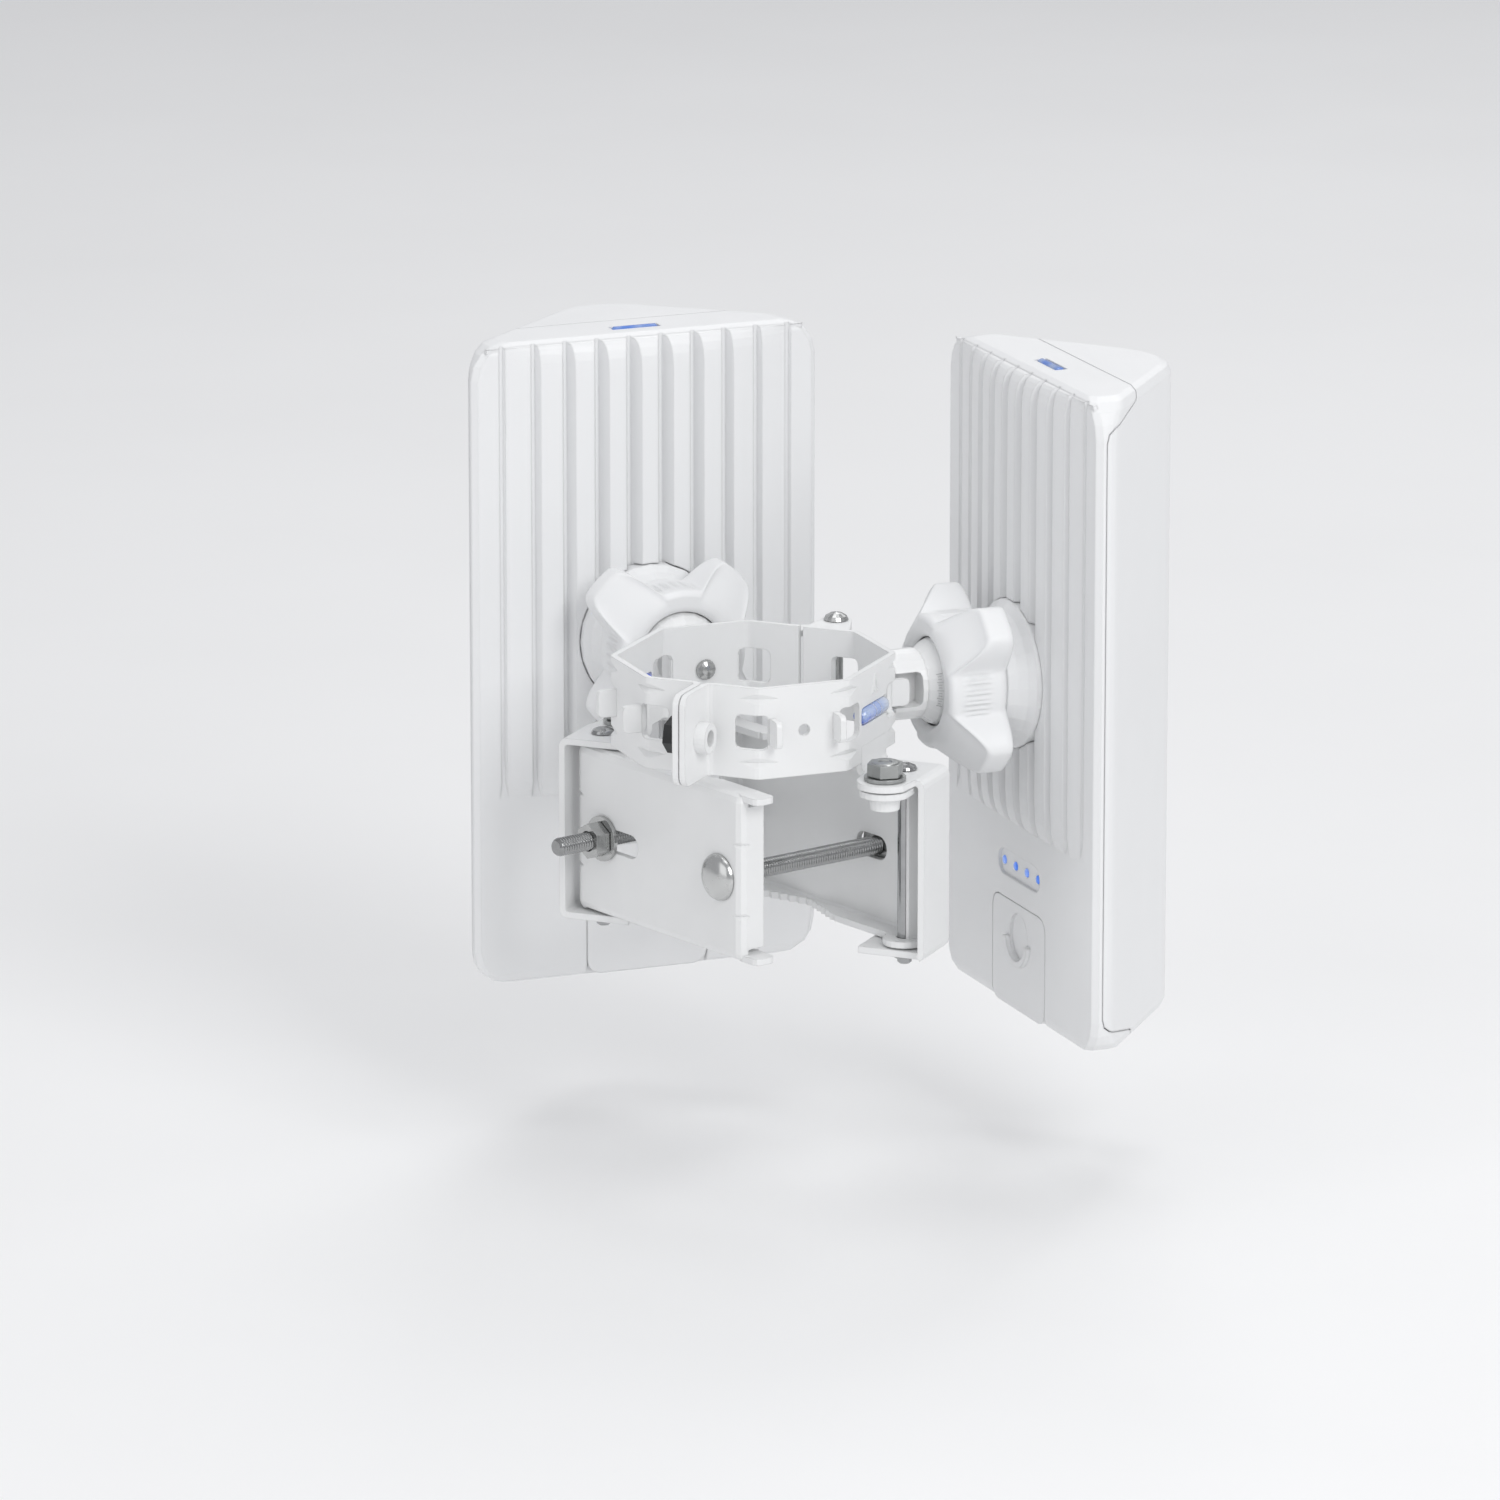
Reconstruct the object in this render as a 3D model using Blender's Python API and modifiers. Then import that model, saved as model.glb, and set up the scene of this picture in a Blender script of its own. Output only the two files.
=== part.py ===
"""Outdoor wireless bridge: two radios on ball joints, a hinged collar and a two-jaw mast clamp.

World frame: Z is the collar's axis, pointing up, and z = 0 is the top face of the pivot ears.
The right radio points along +X and the left radio along +Y. Lengths below are millimetres and
the helpers turn them into metres.
"""
import math

import bmesh
import bpy
from mathutils import Matrix, Vector

MM = 0.001
GAP = 0.3                      # clearance between pieces that touch

# Collar: an octagon of bent sheet, with flats on X and Y for the two arms
SHEET = 2.6
FLAT_OUT = 55.0                # axis to the outer face of a flat that carries an arm
PLAIN_OUT = 52.94              # axis to the outer face of a plain flat
COLLAR_LOW = 3.15
COLLAR_HIGH = 41.0
AXIS_Z = 22.1                  # height of the arms and of the ball centres
FLANGE_OUT = 77.0              # front joint flange, measured along the joint
FLANGE_SIDE = 0.25 + SHEET / 2
JOINT_BOLT_OUT = 62.5
JOINT_BOLT_Z = 21.0
HINGE_OUT = 67.2               # rear hinge rivet
HINGE_SIDE = 8.8
HINGE_R = 3.0
WINDOW = (13.4, 14.4, 14.0)    # width, height and depth of the cutter at each bend
TAB = (2.6, 11.3)              # thickness and height of the tabs beside each arm
TAB_SIDE = 13.9
DART = (9.6, 2.8, 2.1)         # half length, half height and depth of the gussets at the bends
DART_HEIGHTS = (9.8, 36.3)
TAB_OUT = 63.0

# Pivot brackets below the collar
PLATE = 2.8
EAR_OUT = 82.5
WEB_SPAN = (-17.0, 10.5)
LEG_SPAN = (-12.0, 14.0)
FOOT_Z = -77.0
PIN_OUT = 68.3
PIN_SIDE = -2.8
PIN_R = 3.0
LOCK_OUT = 67.3
LOCK_SIDE = -22.0
LOBE_R = 11.5
LOCK_R = 3.9

# Jaws, in a frame turned so that N crosses the mast and T runs along the plates
JAW_ANGLE = math.radians(16.0)
JAW_OUT = 41.0
JAW_TOP = -3.6
JAW_FOOT = -73.4
JAW_SHEET = 2.8
JAW_EDGE = 29.0                # inner edge of the top and bottom flanges
MAST_T = -8.5                  # where the mast sits along the plates
NOTCH_APEX = 36.4
NOTCH_SLOPE = math.tan(math.radians(16.0))
FRONT_SPAN = (-66.0, 44.0)
REAR_SPAN = (-60.0, 66.0)
JAW_DARTS = (-24.5, -54.5)     # heights of the gussets in a jaw's two upright bends
JAW_DART = (5.5, 2.8, 2.6)        # half length, half height and depth of each
BOLT_Z = -40.0
BOLT_STEP = 38.5               # each clamp bolt's distance from the mast, along T
BOLT_R = 4.0
BOLT_TIP = 66.0

# Ball joints
BALL_X = 87.0
BALL_R = 20.0
ARM_R = 14.7
ARM_END = 72.6

# Radios, measured from the ball centre: x forward, y sideways, z up
BACK = 32.0
HALF_W = 77.0
TOP = 128.9
FOOT = -146.1
NOSE_R = 30.5
NOSE_X = 33.5
WALL = 3.0
BACK_WALL = 5.0
SIDE_TURN = 8.8
FIN_STEP = 14.2
FIN_CROWN = 5.0
FIN_FOOT = -44.0 - AXIS_Z
LED_Z = -62.6 - AXIS_Z
LED_STEP = 11.6
DOOR_TOP = -77.8 - AXIS_Z
DOOR_HALF = 27.0

# Colours, roughness and metallic value of each finish
WHITE_PLASTIC = ((0.82, 0.82, 0.81, 1.0), 0.48, 0.0)
WHITE_PAINT = ((0.80, 0.80, 0.79, 1.0), 0.42, 0.1)
STEEL = ((0.56, 0.57, 0.54, 1.0), 0.3, 1.0)
DARK_STEEL = ((0.08, 0.08, 0.085, 1.0), 0.38, 0.9)
BLUE_CLEAR = ((0.05, 0.22, 0.75, 1.0), 0.12, 0.0)
RUBBER = ((0.62, 0.62, 0.62, 1.0), 0.75, 0.0)
BOARD = ((0.03, 0.16, 0.07, 1.0), 0.45, 0.0)
COPPER = ((0.72, 0.42, 0.2, 1.0), 0.35, 0.9)
BALL_GREY = ((0.72, 0.72, 0.71, 1.0), 0.35, 0.0)

for old in list(bpy.data.objects):
    bpy.data.objects.remove(old, do_unlink=True)

PARTS = bpy.data.collections.new("Outdoor Wireless Bridge")
CUTTERS = bpy.data.collections.new("Cutters")
bpy.context.scene.collection.children.link(PARTS)
bpy.context.scene.collection.children.link(CUTTERS)


# ---------------------------------------------------------------- helpers

def guide(name, mesh):
    """A working shape: it is built on, cut or used as a cutter, and isn't a piece itself."""
    shape = bpy.data.objects.new(name, mesh)
    shape.hide_render = True
    shape.display_type = 'WIRE'
    CUTTERS.objects.link(shape)
    return shape


def from_bmesh(name, bm, matrix=None):
    if matrix is not None:
        bmesh.ops.transform(bm, matrix=matrix, verts=bm.verts)
    bmesh.ops.scale(bm, vec=(MM, MM, MM), verts=bm.verts)
    bmesh.ops.recalc_face_normals(bm, faces=bm.faces)
    mesh = bpy.data.meshes.new(name)
    bm.to_mesh(mesh)
    bm.free()
    return guide(name, mesh)


def block(name, low, high, rounding=0.0, along=None, segments=2, matrix=None):
    """A box between two corners, its edges rounded: all of them, or those along one axis."""
    low = Vector(low)
    high = Vector(high)
    bm = bmesh.new()
    bmesh.ops.create_cube(bm, size=1.0)
    bmesh.ops.scale(bm, vec=high - low, verts=bm.verts)
    bmesh.ops.translate(bm, vec=(low + high) / 2, verts=bm.verts)
    if rounding > 0:
        edges = list(bm.edges)
        if along is not None:
            axis = Vector(along)
            edges = [e for e in edges
                     if abs((e.verts[1].co - e.verts[0].co).normalized().dot(axis)) > 0.9]
        bmesh.ops.bevel(bm, geom=edges, offset=rounding, segments=segments,
                        profile=0.5, affect='EDGES', clamp_overlap=True)
    return from_bmesh(name, bm, matrix)


def rod(name, start, end, radius, end_radius=None, sides=20, turn=0.0):
    """A cylinder or cone between two points."""
    start = Vector(start)
    end = Vector(end)
    span = end - start
    bm = bmesh.new()
    bmesh.ops.create_cone(bm, cap_ends=True, segments=sides, radius1=radius,
                          radius2=radius if end_radius is None else end_radius,
                          depth=span.length)
    aim = Vector((0, 0, 1)).rotation_difference(span.normalized()).to_matrix().to_4x4()
    spin = Matrix.Rotation(turn, 4, 'Z')
    return from_bmesh(name, bm, Matrix.Translation((start + end) / 2) @ aim @ spin)


def turned(name, profile, matrix=None, steps=32, closed=False):
    """A lathe shape round Z: the profile is (radius, height) pairs, top to bottom outside."""
    mesh = bpy.data.meshes.new(name)
    points = [(r * MM, 0.0, z * MM) for r, z in profile]
    edges = [(i, i + 1) for i in range(len(points) - 1)]
    if closed:
        edges.append((len(points) - 1, 0))
    mesh.from_pydata(points, edges, [])
    shape = guide(name, mesh)
    screw = shape.modifiers.new("Lathe", 'SCREW')
    screw.axis = 'Z'
    screw.angle = math.tau
    screw.steps = steps
    screw.render_steps = steps
    screw.use_merge_vertices = True
    screw.merge_threshold = 0.00001
    screw.use_normal_calculate = True
    return settled(shape, matrix)


def settled(shape, matrix=None):
    """Fix a working shape's modifiers and its place in its mesh, with its faces turned out."""
    bpy.context.view_layer.update()
    source = shape.evaluated_get(bpy.context.evaluated_depsgraph_get())
    mesh = bpy.data.meshes.new_from_object(source)
    bm = bmesh.new()
    bm.from_mesh(mesh)
    bmesh.ops.remove_doubles(bm, verts=bm.verts, dist=0.000002)
    bmesh.ops.transform(bm, matrix=shape.matrix_world, verts=bm.verts)
    if matrix is not None:
        move = matrix.copy()
        move.translation = move.translation * MM
        bmesh.ops.transform(bm, matrix=move, verts=bm.verts)
    bmesh.ops.triangulate(bm, faces=bm.faces)
    bmesh.ops.recalc_face_normals(bm, faces=bm.faces)
    bm.to_mesh(mesh)
    bm.free()
    name = shape.name
    bpy.data.objects.remove(shape, do_unlink=True)
    mesh.name = name
    return guide(name, mesh)


def flat(name, outlines, low, high, matrix=None):
    """A flat outline, with any holes as further loops, standing between two heights."""
    curve = bpy.data.curves.new(name, 'CURVE')
    curve.dimensions = '2D'
    curve.fill_mode = 'BOTH'
    curve.extrude = (high - low) / 2 * MM
    for loop in outlines:
        spline = curve.splines.new('POLY')
        spline.points.add(len(loop) - 1)
        for point, (x, y) in zip(spline.points, loop):
            point.co = (x * MM, y * MM, 0.0, 1.0)
        spline.use_cyclic_u = True
    shape = bpy.data.objects.new(name, curve)
    CUTTERS.objects.link(shape)
    shape.location.z = (low + high) / 2 * MM
    return settled(shape, matrix)


def strip(name, rails, thickness, matrix=None):
    """A bent sheet: pairs of points across it, one pair after another, thickened both ways."""
    bm = bmesh.new()
    rows = [(bm.verts.new(a), bm.verts.new(b)) for a, b in rails]
    for (a, b), (c, d) in zip(rows, rows[1:]):
        bm.faces.new((a, c, d, b))
    shape = from_bmesh(name, bm)
    solidify = shape.modifiers.new("Sheet", 'SOLIDIFY')
    solidify.thickness = thickness * MM
    solidify.offset = 0.0
    solidify.use_even_offset = True
    return settled(shape, matrix)


def boolean(shape, others, operation):
    for other in others:
        step = shape.modifiers.new(other.name, 'BOOLEAN')
        step.operation = operation
        step.solver = 'EXACT'
        step.object = other
    return shape


def together(name, shapes):
    """Several shapes that don't meet, as one working shape."""
    bm = bmesh.new()
    for shape in shapes:
        bm.from_mesh(shape.data)
        bpy.data.objects.remove(shape, do_unlink=True)
    mesh = bpy.data.meshes.new(name)
    bm.to_mesh(mesh)
    bm.free()
    return guide(name, mesh)


def cut(shape, *others):
    return boolean(shape, others, 'DIFFERENCE')


def join(shape, *others):
    return boolean(shape, others, 'UNION')


def keep(shape, *others):
    return boolean(shape, others, 'INTERSECT')


def finish(name, values):
    colour, roughness, metallic = values
    surface = bpy.data.materials.new(name + "_finish")
    surface.use_nodes = True
    shader = surface.node_tree.nodes["Principled BSDF"]
    shader.inputs["Base Color"].default_value = colour
    shader.inputs["Roughness"].default_value = roughness
    shader.inputs["Metallic"].default_value = metallic
    surface.diffuse_color = colour
    return surface


def baked(shape, about=(0.0, 0.0, 0.0)):
    """The mesh that a working shape and its cuts come to, measured from a given origin."""
    bpy.context.view_layer.update()
    source = shape.evaluated_get(bpy.context.evaluated_depsgraph_get())
    mesh = bpy.data.meshes.new_from_object(source)
    bm = bmesh.new()
    bm.from_mesh(mesh)
    bmesh.ops.remove_doubles(bm, verts=bm.verts, dist=0.000004)
    bmesh.ops.dissolve_degenerate(bm, edges=bm.edges, dist=0.000004)
    bmesh.ops.dissolve_limit(bm, angle_limit=math.radians(0.6), verts=bm.verts, edges=bm.edges)
    bmesh.ops.triangulate(bm, faces=bm.faces)
    bmesh.ops.translate(bm, vec=Vector(about) * -MM, verts=bm.verts)
    bm.to_mesh(mesh)
    bm.free()
    mesh.materials.clear()
    mesh.shade_smooth()
    mesh.set_sharp_from_angle(angle=math.radians(32))
    return mesh


def piece(name, mesh, values, parent):
    """A piece of the object: its own object and material, in its parent's frame."""
    own = bpy.data.objects.new(name, mesh)
    own.parent = parent
    PARTS.objects.link(own)
    if not mesh.materials:
        mesh.materials.append(None)
    own.material_slots[0].link = 'OBJECT'
    own.material_slots[0].material = finish(name, values)
    return own


def frame(name, place=(0.0, 0.0, 0.0), turn=0.0, parent=None):
    empty = bpy.data.objects.new(name, None)
    empty.empty_display_size = 0.02
    empty.location = Vector(place) * MM
    empty.rotation_euler = (0.0, 0.0, turn)
    empty.parent = parent
    PARTS.objects.link(empty)
    return empty


def arc(centre, radius, first, last, count):
    """Points along an arc; angles in degrees."""
    out = []
    for i in range(count + 1):
        angle = math.radians(first + (last - first) * i / count)
        out.append((centre[0] + radius * math.cos(angle), centre[1] + radius * math.sin(angle)))
    return out


def rounded(points, radii, counts=3):
    """An open path with each of its corners turned into an arc."""
    out = [Vector(points[0])]
    corners = len(points) - 2
    radii = radii if isinstance(radii, list) else [radii] * corners
    counts = counts if isinstance(counts, list) else [counts] * corners
    for before, here, after, radius, count in zip(points, points[1:], points[2:], radii, counts):
        here = Vector(here)
        back = (Vector(before) - here).normalized()
        ahead = (Vector(after) - here).normalized()
        half = back.angle(ahead) / 2
        reach = radius / math.tan(half)
        centre = here + (back + ahead).normalized() * radius / math.sin(half)
        start = here + back * reach - centre
        end = here + ahead * reach - centre
        swing = start.angle(end)
        for i in range(count + 1):
            share = i / count
            mix = start * math.sin((1 - share) * swing) + end * math.sin(share * swing)
            out.append(centre + mix / math.sin(swing))
    out.append(Vector(points[-1]))
    return out


def along_x(x=0.0, y=0.0, z=0.0):
    """The lathe's Z laid along +X, from a given point."""
    return Matrix.Translation((x, y, z)) @ Matrix.Rotation(math.pi / 2, 4, 'Y')


def dome(radius, base, height, count=3):
    """A lathe profile's domed top, from the axis out to the rim at the base height."""
    out = []
    for i in range(count + 1):
        angle = math.pi / 2 * (1 - i / count)
        out.append((radius * math.cos(angle), base + height * math.sin(angle)))
    out[0] = (0.0, base + height)
    return out


# ---------------------------------------------------------------- collar and pivot brackets

ROOT2 = math.sqrt(2)
FRONT = Vector((-1, -1, 0)) / ROOT2        # out of the front joint
ACROSS = Vector((1, -1, 0)) / ROOT2        # along the front joint's face, and out of a bracket


def collar_point(out, side):
    return FRONT * out + ACROSS * side


def collar_band(hand):
    """Half of the octagon, from its front flange round to the rear hinge; hand is +1 or -1."""
    mid_flat = FLAT_OUT - SHEET / 2
    mid_plain = PLAIN_OUT - SHEET / 2
    corner = mid_plain * ROOT2 - mid_flat
    flat_y = [Vector((-corner, -mid_flat, 0)), Vector((corner, -mid_flat, 0))]
    flat_x = [Vector((mid_flat, -corner, 0)), Vector((mid_flat, corner, 0))]
    if hand < 0:
        flat_y = [Vector((p.y, p.x, 0)) for p in flat_y]
        flat_x = [Vector((p.y, p.x, 0)) for p in flat_x]
    ends = [collar_point(FLANGE_OUT, FLANGE_SIDE * hand),
            collar_point(mid_plain, FLANGE_SIDE * hand)]
    rear = [collar_point(-mid_plain, 1.0 * hand)]
    path = rounded(ends + flat_y + flat_x + rear, 3.2, 2)
    low = Vector((0, 0, COLLAR_LOW))
    high = Vector((0, 0, COLLAR_HIGH))
    name = "collar_right_band" if hand > 0 else "collar_left_band"
    return strip(name, [(p + low, p + high) for p in path], SHEET)


def bend_windows(name, hand):
    """Rounded windows through the four bends of one half, and the slot for its level vial."""
    width, height, depth = WINDOW
    cutters = []
    for index, angle in enumerate((-112.5, -67.5, -22.5, 22.5)):
        if hand < 0:
            angle = 90 - angle
        turn = Matrix.Rotation(math.radians(angle), 4, 'Z')
        reach = FLAT_OUT / math.cos(math.radians(22.0))
        cutters.append(block(f"{name}_window_{index}",
                             (reach - depth, -width / 2, AXIS_Z + 0.4 - height / 2),
                             (reach + 5, width / 2, AXIS_Z + 0.4 + height / 2),
                             2.2, (1, 0, 0), 2, turn))
    turn = Matrix.Rotation(math.radians(-45 if hand > 0 else 135), 4, 'Z')
    cutters.append(block(f"{name}_vial_slot", (PLAIN_OUT - 6, -12.2, 18.4),
                         (PLAIN_OUT + 4, 15.2, 26.1), 1.5, (1, 0, 0), 2, turn))
    for index, angle in enumerate((-90, 0)):
        if hand < 0:
            angle = 90 - angle
        turn = Matrix.Rotation(math.radians(angle), 4, 'Z')
        hole = rod(f"{name}_arm_hole_{index}", (FLAT_OUT - 6, 0, AXIS_Z),
                   (FLAT_OUT + 4, 0, AXIS_Z), 2.5, sides=16)
        cutters.append(settled(hole, turn))
    return cutters


def dart(name, corner, ways, half_length, half_height, depth, matrix=None):
    """A pressed gusset across a bend: pointed at both ends and deepest on the bend line."""
    corner = Vector(corner)
    first, last = (Vector(way) for way in ways)
    out = -(first + last).normalized()
    points = [corner + first * half_length + out * 0.2, corner + last * half_length + out * 0.2,
              corner + out * 0.2 + Vector((0, 0, half_height)),
              corner + out * 0.2 - Vector((0, 0, half_height)), corner - out * depth, corner + out * 3]
    bm = bmesh.new()
    made = [bm.verts.new(p) for p in points]
    for peak in (4, 5):
        for a, b in ((0, 2), (2, 1), (1, 3), (3, 0)):
            bm.faces.new((made[a], made[b], made[peak]))
    return settled(from_bmesh(name, bm), matrix)


def band_darts(name, hand):
    """Two darts, high and low, across each of one half's four bends."""
    corner = PLAIN_OUT * ROOT2 - FLAT_OUT
    reach = Vector((FLAT_OUT, corner, 0))
    ways = (Vector((0, -1, 0)), Vector((-1, 1, 0)) / ROOT2)
    flip = Matrix.Scale(-1, 4, (0, 1, 0))
    out = []
    for index, (angle, turned_over) in enumerate(((-90, True), (-90, False), (0, True), (0, False))):
        turn = Matrix.Rotation(math.radians(angle if hand > 0 else 90 - angle), 4, 'Z')
        if turned_over:
            turn = turn @ flip
        for level, z in enumerate(DART_HEIGHTS):
            out.append(dart(f"{name}_dart_{index}_{level}", reach + Vector((0, 0, z)), ways,
                            *DART, turn))
    return out


def tabs(name, hand):
    """The tabs bent out beside the radio's arm on the flat that carries it."""
    out = []
    turn = Matrix.Rotation(0 if hand > 0 else math.pi / 2, 4, 'Z')
    spare = Matrix.Rotation(-math.pi / 2 if hand > 0 else math.pi, 4, 'Z')
    thick, height = TAB
    for index, (place, side) in enumerate(((turn, -1), (turn, 1), (spare, -1), (spare, 1))):
        near = TAB_SIDE - thick / 2
        low = (FLAT_OUT - SHEET + 0.5, side * TAB_SIDE - thick / 2, AXIS_Z + 0.5 - height / 2)
        high = (TAB_OUT, side * TAB_SIDE + thick / 2, AXIS_Z + 0.5 + height / 2)
        tab = block(f"{name}_tab_{index}", low, high, 2.0, (0, 1, 0), 2, place)
        foot = block(f"{name}_tab_foot_{index}",
                     (FLAT_OUT - SHEET + 0.6, side * near - 3.0 * (side > 0), low[2] + 0.4),
                     (FLAT_OUT - 0.6, side * near + 3.0 * (side < 0), high[2] - 0.4),
                     matrix=place)
        out += [tab, foot]
    return out


def hinge_lugs(name, hand):
    """Two lugs at the rear edge that take the hinge rivet; the left half's lie inside."""
    sheet = 2.5
    step = sheet + GAP
    if hand > 0:
        heights = (COLLAR_LOW + 0.2, COLLAR_HIGH - 0.2 - sheet)
    else:
        heights = (COLLAR_LOW + 0.2 + step, COLLAR_HIGH - 0.2 - sheet - step)
    centre = (HINGE_OUT, HINGE_SIDE)
    near = PLAIN_OUT - 1.6
    if hand > 0:
        outline = [(near, 20.0), (near, 1.6), (PLAIN_OUT + 2, 1.6)]
        outline += arc(centre, 6.6, -75, 75, 8) + [(PLAIN_OUT + 2, 20.0)]
    else:
        outline = [(near, -1.6), (near, -20.0), (PLAIN_OUT + 2, -20.0)]
        outline += arc(centre, 6.6, -55, 130, 8) + [(PLAIN_OUT + 3.5, 6.0), (PLAIN_OUT + 3.5, -1.6)]
    rivet_hole = arc(centre, HINGE_R + GAP, 360, 22.5, 15)
    turn = Matrix.Rotation(math.radians(45), 4, 'Z')
    flip = Matrix.Scale(-1, 4, (0, 1, 0))
    return [flat(f"{name}_lug_{i}", [outline, rivet_hole], z, z + sheet, turn @ flip)
            for i, z in enumerate(heights)]


def bracket(name, matrix):
    """Leg, top ear, web and bottom ear: one strip bent outwards, then down and back in."""
    mid = PLATE / 2
    ear_samples = [56.5 + i * 1.9 for i in range(12)]
    spine = [(PLAIN_OUT - SHEET / 2, 10.0), (PLAIN_OUT - SHEET / 2, -mid),
             (EAR_OUT - mid, -mid), (EAR_OUT - mid, FOOT_Z + mid), (51.5, FOOT_Z + mid)]
    bends = rounded([Vector((u, 0, z)) for u, z in spine], 2.6, 3)
    path = []
    for a, b in zip(bends, bends[1:]):
        path.append(a)
        if abs(a.z + mid) < 0.01 and abs(b.z + mid) < 0.01:
            path += [Vector((u, 0, -mid)) for u in ear_samples]
    path.append(bends[-1])

    def span(p):
        if p.z > -mid + 0.01:
            return LEG_SPAN
        if p.z > -mid - 0.01 and p.x < EAR_OUT - 4:
            offset = p.x - LOCK_OUT
            low = WEB_SPAN[0] if p.x > LOCK_OUT else LEG_SPAN[0]
            if abs(offset) < LOBE_R:
                low = min(low, LOCK_SIDE - math.sqrt(LOBE_R ** 2 - offset ** 2))
            return (low, WEB_SPAN[1])
        if p.z < FOOT_Z + mid + 0.01:
            return (LEG_SPAN[0], 10.0)
        return WEB_SPAN

    rails = []
    for p in path:
        low, high = span(p)
        rails.append(((p.x, low, p.z), (p.x, high, p.z)))
    turn = Matrix.Rotation(math.radians(-45), 4, 'Z')
    body = settled(strip(name, rails, PLATE), matrix @ turn)
    reach = math.hypot(LOCK_OUT - PIN_OUT, LOCK_SIDE - PIN_SIDE)
    aim = math.degrees(math.atan2(LOCK_SIDE - PIN_SIDE, LOCK_OUT - PIN_OUT))
    half = LOCK_R + 0.6
    swing = 9.0
    centre = (PIN_OUT, PIN_SIDE)
    tips = [(centre[0] + reach * math.cos(math.radians(aim + s * swing)),
             centre[1] + reach * math.sin(math.radians(aim + s * swing))) for s in (-1, 1)]
    loop = arc(centre, reach + half, aim - swing, aim + swing, 6)
    loop += arc(tips[1], half, aim + swing, aim + swing + 180, 6)[1:-1]
    loop += arc(centre, reach - half, aim + swing, aim - swing, 6)
    loop += arc(tips[0], half, aim + swing + 162, aim - swing + 360, 6)[1:-1]
    slot = flat(name + "_slot", [loop], -6.0, 3.0, matrix @ turn)
    bore = rod(name + "_bore", (PIN_OUT, PIN_SIDE, 4.0), (PIN_OUT, PIN_SIDE, FOOT_Z - 4), PIN_R + GAP)
    return body, [slot, settled(bore, matrix @ turn)]


def collar_half(name, hand):
    half_turn = Matrix.Rotation(0 if hand > 0 else math.pi, 4, 'Z')
    body = collar_band(hand)
    cut(body, *bend_windows(name, hand))
    cut(body, *band_darts(name, hand))
    arms, holes = bracket(name + "_bracket", half_turn)
    join(body, *tabs(name, hand))
    join(body, *hinge_lugs(name, hand))
    join(body, arms)
    cut(body, *holes)
    start = collar_point(JOINT_BOLT_OUT, 4.0 * hand)
    bolt_hole = rod(name + "_joint_hole", start + Vector((0, 0, JOINT_BOLT_Z)),
                    collar_point(JOINT_BOLT_OUT, -1.0 * hand) + Vector((0, 0, JOINT_BOLT_Z)), 3.4)
    if hand > 0:
        face = FLANGE_SIDE + SHEET / 2
        ring = rod(name + "_burr", collar_point(JOINT_BOLT_OUT, face - 0.6) + Vector((0, 0, JOINT_BOLT_Z)),
                   collar_point(JOINT_BOLT_OUT, face + 5.0) + Vector((0, 0, JOINT_BOLT_Z)), 6.35)
        join(body, ring)
        bolt_hole = rod(name + "_joint_hole", collar_point(JOINT_BOLT_OUT, 12.0)
                        + Vector((0, 0, JOINT_BOLT_Z)),
                        collar_point(JOINT_BOLT_OUT, -1.0) + Vector((0, 0, JOINT_BOLT_Z)), 3.4)
    # The flange's two outer corners are rounded by what the corner cutters take off
    for index, (z, way) in enumerate(((COLLAR_LOW, 1), (COLLAR_HIGH, -1))):
        corner = [(FLANGE_OUT + 2, z - way * 2), (FLANGE_OUT - 5, z - way * 2), (FLANGE_OUT - 5, z)]
        centre = (FLANGE_OUT - 5, z + way * 5)
        corner += arc(centre, 5.0, -90 * way, 0, 5)[1:] + [(FLANGE_OUT + 2, z + way * 5)]
        stand = Matrix(((FRONT.x, 0, ACROSS.x, 0), (FRONT.y, 0, ACROSS.y, 0), (0, 1, 0, 0), (0, 0, 0, 1)))
        cut(body, flat(f"{name}_corner_{index}", [corner], -6.0, 6.0, stand))
    return baked(cut(body, bolt_hole))


mount = frame("mount_frame")
piece("collar_right", collar_half("collar_right", 1), WHITE_PAINT, mount)
piece("collar_left", collar_half("collar_left", -1), WHITE_PAINT, mount)

# ---------------------------------------------------------------- collar hardware

ALONG_FACE = Vector((1, 1, 0)) / ROOT2
PIN_RIGHT = ACROSS * PIN_OUT + ALONG_FACE * PIN_SIDE
LOCK_RIGHT = ACROSS * LOCK_OUT + ALONG_FACE * LOCK_SIDE


def hexagon(name, start, end, width, turn=0.0):
    return rod(name, start, end, width / math.sqrt(3), sides=6, turn=turn)


def ring(name, low, high, inner, outer, matrix=None):
    profile = [(inner, high), (outer, high), (outer, low), (inner, low)]
    return turned(name, profile, matrix, 20, True)


def standing_at(point):
    return Matrix.Translation((point.x, point.y, 0))


def side_ways(out, z):
    """The lathe's Z laid along the front joint's bolt, from the joint's middle plane."""
    aim = Vector((0, 0, 1)).rotation_difference(ACROSS).to_matrix().to_4x4()
    place = FRONT * out
    return Matrix.Translation((place.x, place.y, z)) @ aim


joint = side_ways(JOINT_BOLT_OUT, JOINT_BOLT_Z)
flange_face = 0.25 + SHEET
washer_far = flange_face + GAP + 1.6
bolt = hexagon("joint_bolt_head", (0, 0, -washer_far - GAP), (0, 0, -washer_far - GAP - 5.3), 13.0)
join(bolt, rod("joint_bolt_shank", (0, 0, -washer_far - 2), (0, 0, 2.6), 3.05))
piece("joint_bolt", baked(settled(bolt, joint)), DARK_STEEL, mount)
piece("joint_washer", baked(ring("joint_washer_ring", -washer_far, -flange_face - GAP, 3.4, 7.3,
                                 joint)), STEEL, mount)

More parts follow.
